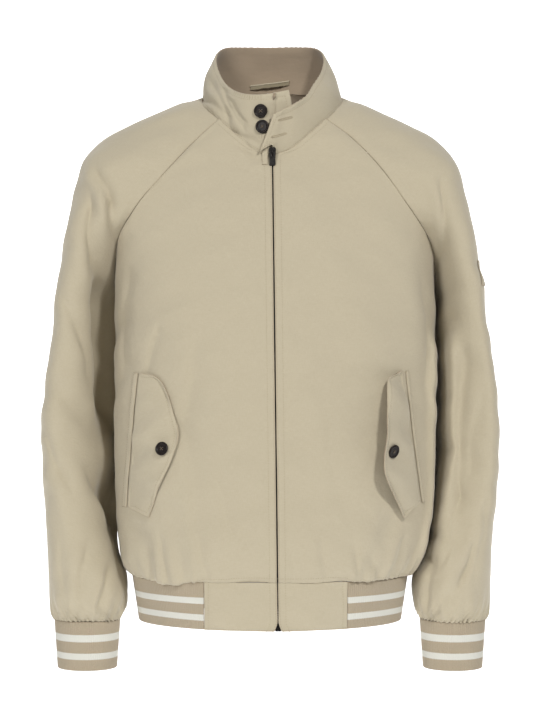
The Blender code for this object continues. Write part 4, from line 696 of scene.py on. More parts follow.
def tape_finish():
    """Dark woven tape, its rows running across."""
    tape = Finish("zip_tape", 0.9, **{"Sheen Weight": 0.2})
    down = tape.node("ShaderNodeSeparateXYZ", Vector=tape.uv()).outputs[1]
    rows = tape.math("SINE", tape.math("MULTIPLY", down, 2 * math.pi / TAPE_ROW_PITCH))
    shown = tape.mix(tape.spread(tape.noise(tape.uv(900, 900, 1), 1.0), 0.4), TAPE_PALE, TAPE_DARK)
    return tape.finish(shown, rows, 0.0003, 0.5)


COTTON_CLOTH, LOOP_SHADED_CLOTH = cotton_finish("cotton", COTTON), cotton_finish("cotton_loop", LOOP_SHADED_COTTON)
WAIST_KNIT = knit_finish("rib_knit_waist", WAIST_STRIPES)
CUFF_KNIT = knit_finish("rib_knit_cuff", CUFF_STRIPES)
# Painted shade: the topstitch thread is darker than the cloth it matches.
THREAD = thread_finish("cotton_thread", THREAD_COTTON_SHADED)
DARK_THREAD = thread_finish("button_thread", BUTTON_THREAD)
HORN, METAL, TAPE = horn_finish(), zip_finish(), tape_finish()


# ---------------------------------------------------------------------------------------------- cloth pieces


def linked(name, data):
    """A new object with this data, in the scene."""
    made = bpy.data.objects.new(name, data)
    bpy.context.scene.collection.objects.link(made)
    return made


def add_piece(name, mesh, finish, *nodes, slot="cotton", body=JACKET):
    """Puts a mesh in the scene as a piece that stands for CAD nodes and moves with a body."""
    mesh.materials.clear()
    mesh.materials.append(finish)
    piece = linked(name, mesh)
    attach(piece, body)
    if nodes:
        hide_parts(*nodes)
    return piece


EDGES = ("start", "end", "first", "last")
SEAM_SHADE_WIDTH, INSIDE_SHADE_SHARE = 0.0010, 0.85  # of the painted shade line at a seam, and of the painted shade on the inner skin


class Cloth:
    """A piece of cloth as a grid of points on its outside, with normals."""

    def __init__(self, points, normals=None, away=(0, -1, 0), closed=False):
        self.points = np.array(points, float)
        if normals is None:
            normals = np.cross(np.gradient(self.points, axis=1), np.gradient(self.points, axis=0))
            middle = normals[len(normals) // 2][len(normals[0]) // 2]
            normals = normals * (1 if middle @ np.array(away, float) > 0 else -1)
        self.normals = unit(normals)
        self.closed = closed
        self.measure()

    def measure(self):
        rows, columns, _ = self.points.shape
        along = np.linalg.norm(np.diff(self.points, axis=1), axis=2)
        self.along = np.concatenate([np.zeros((rows, 1)), np.cumsum(along, axis=1)], axis=1)
        up = np.linalg.norm(np.diff(self.points, axis=0), axis=2)
        self.up = np.concatenate([np.zeros((1, columns)), np.cumsum(up, axis=0)])

    def raise_by(self, relief):
        """Moves the points out along their normals, by one amount or by one for each point."""
        self.points = self.points + np.asarray(relief)[..., None] * self.normals
        return self

    def from_edge(self, edge):
        """How far each point lies from one edge, along the cloth."""
        return {
            "start": self.along, "end": self.along[:, -1:] - self.along,
            "first": self.up, "last": self.up[-1:] - self.up,
        }[edge]
    def near(self, *edges):
        """How far each point lies from the nearest of the named edges, or of all four."""
        return np.min([self.from_edge(edge) for edge in edges or EDGES], axis=0)

    def mesh(self, name, wall, edges=EDGES, roll=EDGE_ROLL):
        """A closed shell whose named edges round over, with a UV map in metres, a mask for painted shade that
        fades with nearness to its named edges, and its inner skin marked for painted shade.
        """
        rows, columns, _ = self.points.shape
        near = self.near(*edges)
        share = np.clip(near / roll, 0, 1)
        half = wall / 2 * np.maximum(np.sqrt(share * (2 - share)), THIN_EDGE)[..., None]
        square = np.cross(np.gradient(self.points, axis=1), np.gradient(self.points, axis=0))
        if self.closed:
            square[:, 0] = square[:, -1] = square[:, 0] + square[:, -1]
        square = unit(square * (1 if np.sum(square * self.normals) > 0 else -1))
        middle = self.points - square * wall / 2
        ring = columns - 1 if self.closed else columns
        i, j = np.meshgrid(np.arange(rows - 1), np.arange(columns - 1), indexing="ij")
        i, j = i.ravel(), j.ravel()

        def number(row, column, skin=0):
            return skin * rows * ring + row * ring + column % ring

        def place(row, column):
            return row * columns + column

        corners = ((i, j), (i, j + 1), (i + 1, j + 1), (i + 1, j))
        outer = np.stack([number(*corner) for corner in corners], axis=1)
        spots = np.stack([place(*corner) for corner in corners], axis=1)
        inner = outer[:, ::-1] + rows * ring
        faces, uvs = [outer, inner], [spots, spots[:, ::-1]]
        every_row, every_column = np.arange(rows), np.arange(columns)
        borders = [(0 * every_column, every_column), (0 * every_column + rows - 1, every_column[::-1])]
        if not self.closed:
            borders += [(every_row[::-1], 0 * every_row), (every_row, 0 * every_row + columns - 1)]
        for row, column in borders:
            faces.append(np.stack([number(row[1:], column[1:]), number(row[:-1], column[:-1]),
                                   number(row[:-1], column[:-1], 1), number(row[1:], column[1:], 1)], axis=1))
            spot = [place(row[1:], column[1:]), place(row[:-1], column[:-1])]
            uvs.append(np.stack([spot[0], spot[1], spot[1], spot[0]], axis=1))
        faces, uvs = np.concatenate(faces), np.concatenate(uvs)
        a, b, c = (self.points.reshape(-1, 3)[spots[len(spots) // 2, k]] for k in (0, 1, 3))
        facing = self.normals[i[len(i) // 2], j[len(j) // 2]]
        if np.cross(b - a, c - a) @ facing < 0:
            faces, uvs = faces[:, ::-1], uvs[:, ::-1]
        skins = [(middle + sign * square * half)[:, :ring].reshape(-1, 3) for sign in (1, -1)]
        made = bpy.data.meshes.new(name)
        made.from_pydata(np.concatenate(skins).tolist(), [], faces.tolist())
        layer = made.uv_layers.new(name="UVMap")
        flat = np.stack([self.along, self.up], axis=2).reshape(-1, 2)
        layer.data.foreach_set("uv", flat[uvs.ravel()].ravel())
        # Painted shade: a thin darker line along the named edges, where a seam's groove falls in shade.
        seam = np.exp(-((near / SEAM_SHADE_WIDTH) ** 2))[:, :ring].ravel()
        out = self.normals[:, :ring].ravel()
        for label, kind, values in (
            ("seam", "FLOAT", np.concatenate([seam, seam])),
            ("around", "FLOAT", np.tile(self.along[:, :ring].ravel(), 2)),
            # The inner skin is marked for painted shade.
            ("inner", "FLOAT", np.repeat((0.0, INSIDE_SHADE_SHARE), rows * ring)),
            ("out", "FLOAT_VECTOR", np.concatenate([out, np.zeros(len(out))])),
        ):
            store = made.attributes.new(label, kind, "POINT")
            store.data.foreach_set("vector" if kind == "FLOAT_VECTOR" else "value", values)
        made.shade_smooth()
        return made

    def line(self, edge, inset, clear_of=(), part=(0.0, 1.0)):
        """Points and normals along the cloth, `inset` in from an edge and that far clear of others."""
        arrays = [self.points, self.normals, self.from_edge(edge)[..., None]]
        arrays += [self.from_edge(other)[..., None] for other in clear_of]
        table = np.concatenate(arrays, axis=2)
        if edge in ("first", "last"):
            table = table.swapaxes(0, 1)
        if edge in ("end", "last"):
            table = table[:, ::-1]
        columns = range(table.shape[2])
        found = np.array([[np.interp(inset, row[:, 6], row[:, k]) for k in columns] for row in table])
        found = found[round(part[0] * len(found)): round(part[1] * len(found))]
        if clear_of:
            found = found[np.min(found[:, 7:], axis=1) >= inset * 0.999]
        return found[:, :3], unit(found[:, 3:6])


class Surface:
    """The side of finished pieces that faces one way, to lay others on."""

    def __init__(self, *pieces, facing=(0, -1, 0)):
        points, faces = [], []
        for piece in pieces:
            count = len(points)
            skin = [face for face in piece.data.polygons if face.normal.dot(Vector(facing)) > 0]
            faces += [[count + v for v in face.vertices] for face in skin]
            points += [v.co.copy() for v in piece.data.vertices]
        self.tree = BVHTree.FromPolygons(points, faces)

    def seen(self, origin, direction):
        """Where a line of sight first meets the surface, and the normal there, turned towards the viewer."""
        place, normal, _, _ = self.tree.ray_cast(Vector(origin), Vector(direction).normalized())
        if place is None:
            place, normal, _, _ = self.tree.find_nearest(Vector(origin))
        normal = np.array(normal) * (-1 if normal.dot(Vector(direction)) > 0 else 1)
        return np.array(place), normal

    def before(self, x, z):
        return self.seen((x, -1, z), (0, 1, 0))


NEAR_EDGE = np.array((0, 0.0003, 0.0008, 0.0016, 0.0030))
NEAR_HEM = np.concatenate([NEAR_EDGE, (0.0046, 0.0062, 0.0080)])


def shares_of(length, count):
    """Shares along a row, closer together at both ends where the edges round over."""
    near = NEAR_EDGE * min(1.0, length / 0.03) / length
    middle = np.linspace(near[-1], 1 - near[-1], count)[1:-1]
    return np.concatenate([near, middle, 1 - near[::-1]])


def panel(row_at, rows, count, outward, relief):
    """A panel's grid from its rows, its relief raised along its normals."""
    points, normals, heights = [], [], []
    for row in rows:
        length = np.linalg.norm(np.diff(row_at(row, np.linspace(0, 1, 25)), axis=0), axis=1).sum()
        shares = shares_of(max(length, 1e-4), count)
        points.append(row_at(row, shares))
        normals.append(normals_of(row_at, row, shares, outward))
        heights.append(relief(row, shares, points[-1], shares * length))
    return Cloth(points, normals).raise_by(np.array(heights))


def graded(start, end, step, near_start, near_end):
    """Rising numbers from start to end, with the small steps near_start and near_end at the ends."""
    first, last = start + near_start, end - near_end[::-1]
    return np.concatenate([first, np.arange(first[-1] + step, last[0] - step / 2, step), last])


BODY_YOKE, SLEEVE_YOKE = 0.17, 0.21  # their lengths from the neck to the underarm
BODY_STEP, YOKE_STEP, SLEEVE_STEP, GATHER_STEP, GATHERED = 0.0034, 0.0036, 0.0038, 0.0022, 0.03
NO_STEPS = np.array([0.0])


def body_rows():
    drop = UNDERARM - HEM_SEAM
    low = graded(0.0, 1.0, BODY_STEP / drop, NEAR_HEM / drop, NO_STEPS)
    return np.concatenate([low, graded(1.0, 2.0, YOKE_STEP / BODY_YOKE, NO_STEPS, NEAR_EDGE / BODY_YOKE)[1:]])


def sleeve_rows():
    """Rows from the neck to the cuff, closer together where the sleeve is gathered above it."""
    drop = UNDERARM - CUFF_SEAM
    gathered = 2.0 - GATHERED / drop
    high = graded(0.0, 1.0, SLEEVE_STEP / SLEEVE_YOKE, NEAR_EDGE / SLEEVE_YOKE, NO_STEPS)
    middle = graded(1.0, gathered, SLEEVE_STEP / drop, NO_STEPS, NO_STEPS)
    low = graded(gathered, 2.0, GATHER_STEP / drop, NO_STEPS, NEAR_EDGE / drop)
    return np.concatenate([high, middle[1:], low[1:]])


SEAM_WELT, SEAM_WELT_AT = 0.0004, 0.0045


def seam_welt(distance, width=0.0035):
    """The slight raised welt beside a seam, where its turned-in edges lie."""
    return SEAM_WELT * np.exp(-(((distance - SEAM_WELT_AT) / width) ** 4))


def off_neck(rows_away):
    """How much of the ripples is left so many row numbers away from the neck seam, which lies still."""
    return min(1.0, rows_away / 0.1)


def off_ends(along, from_start, from_end):
    """0 at both ends of a row, and 1 from those lengths on."""
    return np.clip(along / from_start, 0, 1) * np.clip((along[-1] - along) / from_end, 0, 1)


def eased(value):
    """0 below 0 and 1 above 1, with a smooth step between."""
    t = np.clip(value, 0, 1)
    return t * t * (3 - 2 * t)


def above_hem(row):
    """A body row's height above the hem seam. The yoke's are all far above it."""
    return row * (UNDERARM - HEM_SEAM) if row <= 1 else 1.0


def front_relief(row, shares, points, along):
    height, inner = above_hem(row), off_ends(along, 0.02, 0.012)
    over_rib = np.clip((np.abs(points[:, 0] - zip_x(HEM_SEAM)) - GATHERS_FROM) / GATHERS_GROW, 0, 1)
    relief = over_rib * gathers(shares, FRONT_GATHERS, height) - sunk_in_folds(points, BODY_FOLDS)
    relief += (0.3 + 0.7 * over_rib) * puckers(along, height, *FRONT_HEM_PUCKERS)
    creases = sunk_in_folds(points, FRONT_CREASES, CREASE_WELT) * inner
    relief -= FRONT_CREASE_SHARE * creases * eased(height / CREASES_OFF_HEM)
    relief += puckers(points[:, 2], along, *ZIP_PUCKERS) + seam_welt(along, width=0.0045)
    relief += ripples(points, RIPPLE_DEPTHS["front"]) * inner * off_neck(2 - row)
    return relief + seam_welt(along[-1] - along)


def back_relief(row, shares, points, along):
    height, inner = above_hem(row), off_ends(along, 0.02, 0.02)
    relief = gathers(shares, BACK_GATHERS, height) + puckers(along, height, *BACK_HEM_PUCKERS)
    relief -= sunk_in_folds(points, BACK_CREASES, CREASE_WELT) * inner * eased(height / CREASES_OFF_HEM)
    relief += ripples(points, RIPPLE_DEPTHS["back"]) * inner * off_neck(2 - row)
    return relief + seam_welt(along) + seam_welt(along[-1] - along)


def sleeve_relief(half):
    """Gathers above the cuff, and folds that fade out towards the piece's seams."""
    deep, fine, hollows = (
        (SLEEVE_FOLDS, SLEEVE_CREASES, SLEEVE_HOLLOWS) if half == "front" else ((), SLEEVE_BACK_CREASES, ())
    )

    def relief(row, shares, points, along):
        height = (2 - row) * (UNDERARM - CUFF_SEAM) if row > 1 else 1.0
        off_seams = (1 - shares ** 8) * (1 - (1 - shares) ** 5) * eased(along / 0.07)
        inner = off_ends(along, 0.012, 0.012) * off_neck(row) * np.clip(along / 0.07, 0, 1)
        total = gathers(shares, SLEEVE_GATHERS, height) + puckers(along, height, *CUFF_PUCKERS)
        total -= (sunk_in_folds(points, deep) + sunk_in_folds(points, fine, CREASE_WELT)) * off_seams
        total -= sunk_in_folds(points, hollows, ends=3.5) * (1 - shares ** 40)
        return total + ripples(points, RIPPLE_DEPTHS["sleeve"]) * inner

    return relief


def bloused(cloth, slack_at):
    """Lets the cloth above the rib sag over its seam, by slack_at for each place across."""
    height, slack = cloth.from_edge("first"), slack_at(cloth.points[..., 0])
    down = slack * (1 - np.exp(-height / 0.0022)) * np.exp(-((height / 0.020) ** 2))
    out = 0.45 * slack * (1 - np.exp(-((height / 0.005) ** 2))) * np.exp(-((height / 0.030) ** 2))
    cloth.points = cloth.points - down[..., None] * np.array((0.0, 0.0, 1.0)) + out[..., None] * cloth.normals
    cloth.measure()
    return cloth


PRESSED_TOP, PRESSED_FOOT = -0.275, -0.635
PRESSED_FRONT, PRESSED_SLEEVE = (0.080, 0.024), (0.105, 0.034)  # how wide a strip, and how far forward


def pressed(cloth, edge, reach, forward):
    """Brings the strip of a panel beside one edge forward, where sleeve and body lie against each other."""
    across, level = np.clip(cloth.from_edge(edge) / reach, 0, 1), cloth.points[..., 2]
    amount = forward * np.sin(np.pi * across) ** 2
    amount *= eased((level - PRESSED_FOOT) / 0.07) * eased((PRESSED_TOP - level) / 0.06)
    cloth.points = cloth.points - amount[..., None] * np.array((0.0, 1.0, 0.0))
    cloth.measure()


def slack_right(x):
    """The right front hangs lowest over the rib half way to the side."""
    return 0.0015 * np.clip(-x / 0.06, 0, 1) + 0.0095 * np.exp(-(((x + 0.122) / 0.032) ** 2))


def slack_left(x):
    return 0.0030 * np.clip((x - 0.07) / 0.03, 0, 1) * (1 + 0.6 * np.sin(70 * x))


def slack_back(x):
    return 0.0040 * (1 + 0.5 * np.sin(47 * x + 0.6) + 0.3 * np.sin(103 * x))


# The cloth grids and the finished pieces, by name.
cloths, pieces = {}, {}


def finish_cloth(name, cloth, wall, *nodes, edges=EDGES, finish=COTTON_CLOTH, slot="cotton", roll=EDGE_ROLL):
    cloths[name] = cloth
    pieces[name] = add_piece(name, cloth.mesh(name, wall, edges, roll), finish, *nodes, slot=slot)


FRONT_COLUMNS, BACK_COLUMNS, SLEEVE_COLUMNS = 112, 190, 98


def make_panels():
    rows = body_rows()
    for side, arm in ARMS:
        front = panel(lambda row, shares: body_row(side, "front", row, shares), rows[:-1], FRONT_COLUMNS,
                      (0, -1, 0), front_relief)
        bloused(front, slack_right if side < 0 else slack_left)
        if side > 0:
            pressed(front, "end", *PRESSED_FRONT)
        finish_cloth(f"front_{arm}_cloth", front, COTTON_WALL, f"front_{arm}", edges=("start", "end", "last"))
    back = bloused(panel(back_row, rows, BACK_COLUMNS, (0, 1, 0), back_relief), slack_back)
    finish_cloth("back_cloth", back, COTTON_WALL, "back", edges=("start", "end", "last"))
    rows = sleeve_rows()
    for side, arm in ARMS:
        for half, forward in (("front", -1), ("back", 1)):
            sleeve = panel(lambda row, shares: sleeve_row(side, half, row, shares), rows, SLEEVE_COLUMNS,
                           (0, forward, 0), sleeve_relief(half))
            if side > 0 and half == "front":
                pressed(sleeve, "end", *PRESSED_SLEEVE)
            finish_cloth(f"sleeve_{half}_{arm}_cloth", sleeve, COTTON_WALL, f"sleeve_{half}_{arm}",
                         edges=("start", "end", "first"))


# -------------------------------------------------------------------------------------- repeats along a line


def tree_of(name, *inputs):
    """A new geometry node tree that takes the named inputs as well, its given outputs and its result."""
    nodes = Nodes(bpy.data.node_groups.new(name, "GeometryNodeTree"))
    for label, kind in (("Geometry", "Geometry"), *inputs):
        nodes.tree.interface.new_socket(label, in_out="INPUT", socket_type=f"NodeSocket{kind}")
    nodes.tree.interface.new_socket("Geometry", in_out="OUTPUT", socket_type="NodeSocketGeometry")
    return nodes, nodes.node("NodeGroupInput").outputs, nodes.node("NodeGroupOutput").inputs[0]


def repeat_tree(name, shape, **sizes):
    """A node tree that sets small shapes along a line at an even pitch, square to the line and the cloth."""
    row, given, result = tree_of(name, ("Pitch", "Float"), ("Size", "Vector"), ("Finish", "Material"))
    line = row.node("GeometryNodeMeshToCurve", Mesh=given["Geometry"])
    spaced = row.node("GeometryNodeResampleCurve", {"mode": "LENGTH"}, Curve=line.outputs[0],
                      Length=given["Pitch"])
    out = row.node("GeometryNodeInputNamedAttribute", {"data_type": "FLOAT_VECTOR"}, Name="out")
    on_cloth = row.node("FunctionNodeAlignRotationToVector", {"axis": "Z"}, Vector=out.outputs["Attribute"])
    along = row.node("FunctionNodeAlignRotationToVector", {"axis": "X", "pivot_axis": "Z"},
                     Rotation=on_cloth.outputs[0], Vector=row.node("GeometryNodeInputTangent").outputs[0])
    one = row.node(shape, **sizes)
    sized = row.node("GeometryNodeTransform", Geometry=one.outputs[0], Scale=given["Size"])
    placed = row.node("GeometryNodeInstanceOnPoints", Points=spaced.outputs[0], Instance=sized.outputs[0],
                      Rotation=along.outputs[0])
    real = row.node("GeometryNodeRealizeInstances", Geometry=placed.outputs[0])
    finished = row.node("GeometryNodeSetMaterial", Geometry=real.outputs[0], Material=given["Finish"])
    row.feed(result, finished.outputs[0])
    return row.tree


def rib_tree():
    """A node tree that sinks the furrows between upright ribs into a knitted band."""
    ribs, given, result = tree_of("knit_ribs", ("Pitch", "Float"), ("Depth", "Float"))
    around = ribs.node("GeometryNodeInputNamedAttribute", Name="around").outputs["Attribute"]
    out = ribs.node("GeometryNodeInputNamedAttribute", {"data_type": "FLOAT_VECTOR"}, Name="out")
    turn = ribs.math("MULTIPLY", ribs.math("DIVIDE", around, given["Pitch"]), 2 * math.pi)
    furrow = ribs.math("SUBTRACT", ribs.math("COSINE", turn), 1.0)
    fall = ribs.math("MULTIPLY", furrow, ribs.math("MULTIPLY", given["Depth"], 0.5))
    sunk = ribs.node("ShaderNodeVectorMath", {"operation": "SCALE"}, Scale=fall)
    ribs.feed(sunk.inputs[0], out.outputs["Attribute"])
    moved = ribs.node("GeometryNodeSetPosition", Geometry=given["Geometry"], Offset=sunk.outputs[0])
    ribs.feed(result, moved.outputs[0])
    return ribs.tree


def mesh_of(holder):
    """The mesh that an object comes to with its modifiers. The object itself goes."""
    made = bpy.data.meshes.new_from_object(holder.evaluated_get(bpy.context.evaluated_depsgraph_get()))
    bpy.data.objects.remove(holder)
    return made


def worked(mesh, tree, **values):
    """The mesh that a node tree makes of another one."""
    holder = linked("work", mesh)
    modifier = holder.modifiers.new("nodes", "NODES")
    modifier.node_group = tree
    for socket in tree.interface.items_tree:
        if socket.in_out == "INPUT" and socket.name in values:
            modifier[socket.identifier] = values[socket.name]
    holder.update_tag()
    return mesh_of(holder)


STITCHES = repeat_tree("topstitch", "GeometryNodeMeshUVSphere", Segments=6, Rings=3, Radius=0.5)
BLOCKS, RIBS = repeat_tree("zip_teeth", "GeometryNodeMeshCube", Size=(1, 1, 1)), rib_tree()
STITCH_PITCH, STITCH_SIZE, STITCH_SUNK = 0.0031, (0.0023, 0.00055, 0.0004), 0.00005


def line_mesh(name, lines):
    """Lines of points with normals as the edges of one mesh, with their normals kept as an attribute."""
    points, edges, normals = [], [], []
    for line, out in lines:
        edges += [(len(points) + k, len(points) + k + 1) for k in range(len(line) - 1)]
        points += [tuple(p) for p in line]
        normals += list(out)
    made = bpy.data.meshes.new(name)
    made.from_pydata(points, edges, [])
    made.attributes.new("out", "FLOAT_VECTOR", "POINT").data.foreach_set("vector", np.array(normals).ravel())
    return made


def topstitch(name, *lines, pitch=STITCH_PITCH, size=STITCH_SIZE):
    """Lines of stitches that lie on the cloth."""
    laid = [(line + STITCH_SUNK * out, out) for line, out in lines if len(line) > 1]
    made = worked(line_mesh(name, laid), STITCHES, Pitch=pitch, Size=size, Finish=THREAD)
    made.shade_smooth()
    return add_piece(name, made, THREAD)


# ---------------------------------------------------------------------------------------- hem, cuffs, collar


def oval_ring(radii, rounding, middle, z, from_x=0.0, to_x=0.0):
    """Fine points round an oval, from from_x in front by the wearer's right and the back to to_x in front."""
    right, left, before, behind = radii
    first = math.asin((-from_x / right) ** (rounding / 2))
    last = 2 * math.pi - math.asin((to_x / left) ** (rounding / 2))
    run, fall = oval(np.linspace(first, last, RING_POINTS), rounding)
    x = middle[0] - run * np.where(run > 0, right, left)
    y = middle[1] + (fall - 1) * np.where(fall < 1, before, behind)
    return np.stack([x, y, np.full(RING_POINTS, z)], axis=1)


def level_normals(lines, closed):
    """Level unit normals, pointing out of lines that run clockwise as seen from above."""
    ahead = np.gradient(lines, axis=1)
    if closed:
        ahead[:, 0] = ahead[:, -1] = lines[:, 1] - lines[:, -2]
    return unit(np.stack([-ahead[..., 1], ahead[..., 0], np.zeros(lines.shape[:2])], axis=2))


def hem_radii(z):
    share = (HEM_SEAM - z) / (HEM_SEAM - HEM_FOOT)
    at_seam = (-SIDES[0][1], SIDES[0][2], -CENTRE_FRONT[0][1], CENTRE_BACK[0][1])
    at_foot = (HEM_FOOT_HALF_WIDTH, HEM_FOOT_HALF_WIDTH, HEM_FOOT_FRONT, HEM_FOOT_BACK)
    return [top + (foot - top) * share for top, foot in zip(at_seam, at_foot)]


def hem_rounding(z):
    return BODY_ROUNDING + (HEM_FOOT_ROUNDING - BODY_ROUNDING) * (HEM_SEAM - z) / (HEM_SEAM - HEM_FOOT)


def hem_front_line(z, from_x, to_x, shares):
    right, left, before, _ = hem_radii(z)
    rounding = hem_rounding(z)
    x = from_x + (to_x - from_x) * shares
    part = np.abs(x) / np.where(x < 0, right, left)
    return np.stack([x, -before * (1 - part ** rounding) ** (1 / rounding), np.full(len(x), z)], axis=1)


RIB_PITCH, RIB_DEPTH, COLUMNS_PER_RIB = 0.0028, 0.0007, 4


def knit_band(name, lines, finish, node, closed=False):
    """A band of rib knit through level lines, from its seam down."""
    length = np.linalg.norm(np.diff(lines[0], axis=0), axis=1).sum()
    ribs = round(length / RIB_PITCH)
    shares = np.linspace(0, 1, ribs * COLUMNS_PER_RIB + 1)
    points = np.array([evenly(line, shares) for line in lines])
    knit = Cloth(points, level_normals(points, closed), closed=closed)
    knit.along = np.tile(shares * length, (len(lines), 1))
    edges = ("first", "last") if closed else EDGES
    made = worked(knit.mesh(name, RIB_WALL, edges), RIBS, Pitch=length / ribs, Depth=RIB_DEPTH)
    made.shade_smooth()
    cloths[name], pieces[name] = knit, add_piece(name, made, finish, node, slot="rib_knit")


def band_levels(top, foot, count):
    near = NEAR_EDGE
    middle = np.linspace(top - near[-1], foot + near[-1], count)[1:-1]
    return np.concatenate([top - near, middle, foot + near[::-1]])


def make_hem():
    levels = band_levels(HEM_SEAM - SEAM_GAP, HEM_FOOT, 9)
    ends = HEM_PANEL_END_RIGHT, HEM_PANEL_END_LEFT
    lines = [oval_ring(hem_radii(z), hem_rounding(z), (0, 0), z, *ends) for z in levels]
    knit_band("waist_rib_knit", lines, WAIST_KNIT, "waist_rib")
    for (side, arm), end in zip(ARMS, ends):
        rows = []
        for z in band_levels(HEM_SEAM - SEAM_GAP, HEM_FOOT, 22):
            notch = ZIP_NOTCH * np.clip(1 - (z - HEM_FOOT) / ZIP_NOTCH_HEIGHT, 0, 1) ** 1.4
            span = (end - side * SEAM_GAP, zip_x(z) + side * (FRONT_EDGE_GAP + notch))
            rows.append(hem_front_line(z, max(span), min(span), shares_of(abs(span[0] - span[1]), 34)))
        points = np.array(rows)
        cloth = Cloth(points, level_normals(points, False))
        relief = ripples(points, RIPPLE_DEPTHS["panel"]) + puckers(cloth.along, cloth.up, *PANEL_HEM_PUCKERS)
        relief += puckers(cloth.up, cloth.from_edge("start" if side > 0 else "end"), *PANEL_RIB_PUCKERS)
        cloth.raise_by(relief * np.clip(cloth.near() / 0.006, 0, 1))
        finish_cloth(f"hem_panel_{arm}_cloth", cloth, FLAP_WALL, f"hem_panel_{arm}",
                     edges=("start", "end", "last"))


def make_cuffs():
    outer, inner, middle, depth = (ARM[-1][k] for k in (1, 2, 4, 5))
    half, centre = (outer - inner) / 2, (outer + inner) / 2
    top, foot = CUFF_SEAM - SEAM_GAP, CUFF_FOOT
    for side, arm in ARMS:
        lines = []
        for z in band_levels(top, foot, 10):
            share = (top - z) / (top - foot)
            wide = half + (CUFF_FOOT_HALF_WIDTH - half) * share
            deep = depth + (CUFF_FOOT_HALF_DEPTH - depth) * share
            lines.append(oval_ring((wide, wide, deep, deep), CUFF_ROUNDING, (side * centre, middle), z))
        knit_band(f"cuff_{arm}_knit", lines, CUFF_KNIT, f"cuff_{arm}", closed=True)


def collar_stations():
    """Foot, top and bow of each station of the collar, from its tab's end round to the wearer's left end."""
    angles = [*reversed(FRONT_NECK_ANGLES), *np.linspace(RAGLAN_FRONT_ANGLE, 90, 8)]
    angles += [*np.linspace(90, RAGLAN_BACK_ANGLE, 8)[1:], *np.linspace(RAGLAN_BACK_ANGLE, 180, 10)[1:]]
    feet, tops = [row[:3] for row in TAB_END], [row[3:] for row in TAB_END]
    round_neck = [0.0] * len(TAB_END)
    for side, table, stations in ((-1, COLLAR_TOP_RIGHT, angles), (1, COLLAR_TOP_LEFT, angles[-2::-1])):
        for angle in stations:
            feet.append(neck(side * angle)[0] + (0, 0, COLLAR_LIFT))
            tops.append([through(table, angle, k) for k in (1, 2, 3)])
            round_neck.append(angle)
    feet += [row[:3] for row in LEFT_END]
    tops += [row[3:] for row in LEFT_END]
    round_neck += [0.0] * len(LEFT_END)
    bow = COLLAR_BOW * np.clip(np.array(round_neck) / COLLAR_FLAT_ANGLE, 0.2, 1)
    return np.array(feet, float), np.array(tops, float), bow


def make_collar():
    feet, tops, bow = collar_stations()
    steps = np.linalg.norm(np.diff((feet + tops) / 2, axis=0), axis=1)
    stations = np.concatenate([[0], np.cumsum(steps)])
    places = shares_of(stations[-1], 260) * stations[-1]

    def smooth(values):
        return through(np.stack([stations, values], axis=1), places)

    foot, top = (np.stack([smooth(line[:, k]) for k in range(3)], axis=1) for line in (feet, tops))
    foot -= COLLAR_TUCK * unit(top - foot)
    bulge = smooth(bow)[:, None]
    level = unit(np.cross(np.gradient(foot, axis=0) + np.gradient(top, axis=0), top - foot))
    level *= 1 if level[len(level) // 2] @ (0, 1, 0) > 0 else -1
    height = np.linalg.norm(top - foot, axis=1).mean()
    shares = shares_of(height, 26)
    rows = [foot + (top - foot) * share + bulge * math.sin(math.pi * share) * level for share in shares]
    cloth = Cloth(rows, np.array([level] * len(rows)))
    near = cloth.near("start", "end", "last")
    inner = np.clip(near / 0.01, 0, 1)
    sewn = 0.0005 * np.exp(-(((near - COLLAR_STITCH) / 0.0012) ** 2)) * np.clip(cloth.up / 0.01, 0, 1)
    soft = ripples(cloth.points, RIPPLE_DEPTHS["collar"]) * inner
    soft += puckers(cloth.along, cloth.up, *COLLAR_FOOT_PUCKERS) * inner
    soft += puckers(cloth.along, cloth.from_edge("last"), *COLLAR_TOP_PUCKERS)
    crumpled = sunk_in_folds(cloth.points, COLLAR_CREASES, COLLAR_CREASE_WELT)
    crumpled *= (cloth.points[..., 1] < 0) * np.clip(near / 0.008, 0, 1)
    cloth.raise_by(soft - sewn - crumpled)
    finish_cloth("collar_cloth", cloth, COLLAR_WALL, "collar", edges=("start", "end", "last"), roll=0.0026)


# --------------------------------------------------------------------------------- pockets, patch, loop, zip


def make_pockets():
    for arm, table in POCKETS.items():
        front = Surface(pieces[f"front_{arm}_cloth"])
        side = 1 if arm == "left" else -1
        sections = shares_of(0.17, 52) * (len(table) - 1)
        flap, welt = [], []
        for section in sections:
            hinge_x, hinge_z, outer_x, outer_z, rise = (by_section(table, section, k) for k in range(5))
            flap.append([])
            for share in shares_of(abs(outer_x - hinge_x) + 0.004, 26):
                x, z = hinge_x + (outer_x - hinge_x) * share, hinge_z + (outer_z - hinge_z) * share
                stand = LYING_GAP + FLAP_WALL + rise * share + 0.0016 * math.sin(math.pi * share)
                flap[-1].append(front.before(x, z)[0] - (0, stand, 0))
            across = np.linspace(hinge_x + side * WELT_FROM[arm], hinge_x + side * WELT_TO, 7)
            welt.append([front.before(x, hinge_z)[0] for x in across])
        cloth = Cloth(flap)
        near = cloth.near()
        soft = ripples(cloth.points, RIPPLE_DEPTHS["flap"])
        soft += puckers(cloth.up, cloth.from_edge("end"), *FLAP_PUCKERS)
        soft -= 0.0004 * np.exp(-(((near - FLAP_STITCH) / 0.0010) ** 2))
        cloth.raise_by(soft * np.clip(near / 0.003, 0, 1))
        finish_cloth(f"pocket_flap_{arm}_cloth", cloth, FLAP_WALL, f"pocket_flap_{arm}", roll=0.0012)
        cloth = Cloth(welt).raise_by(LYING_GAP + WELT_WALL)
        finish_cloth(f"pocket_welt_{arm}_cloth", cloth, WELT_WALL, f"pocket_welt_{arm}", roll=0.0009)


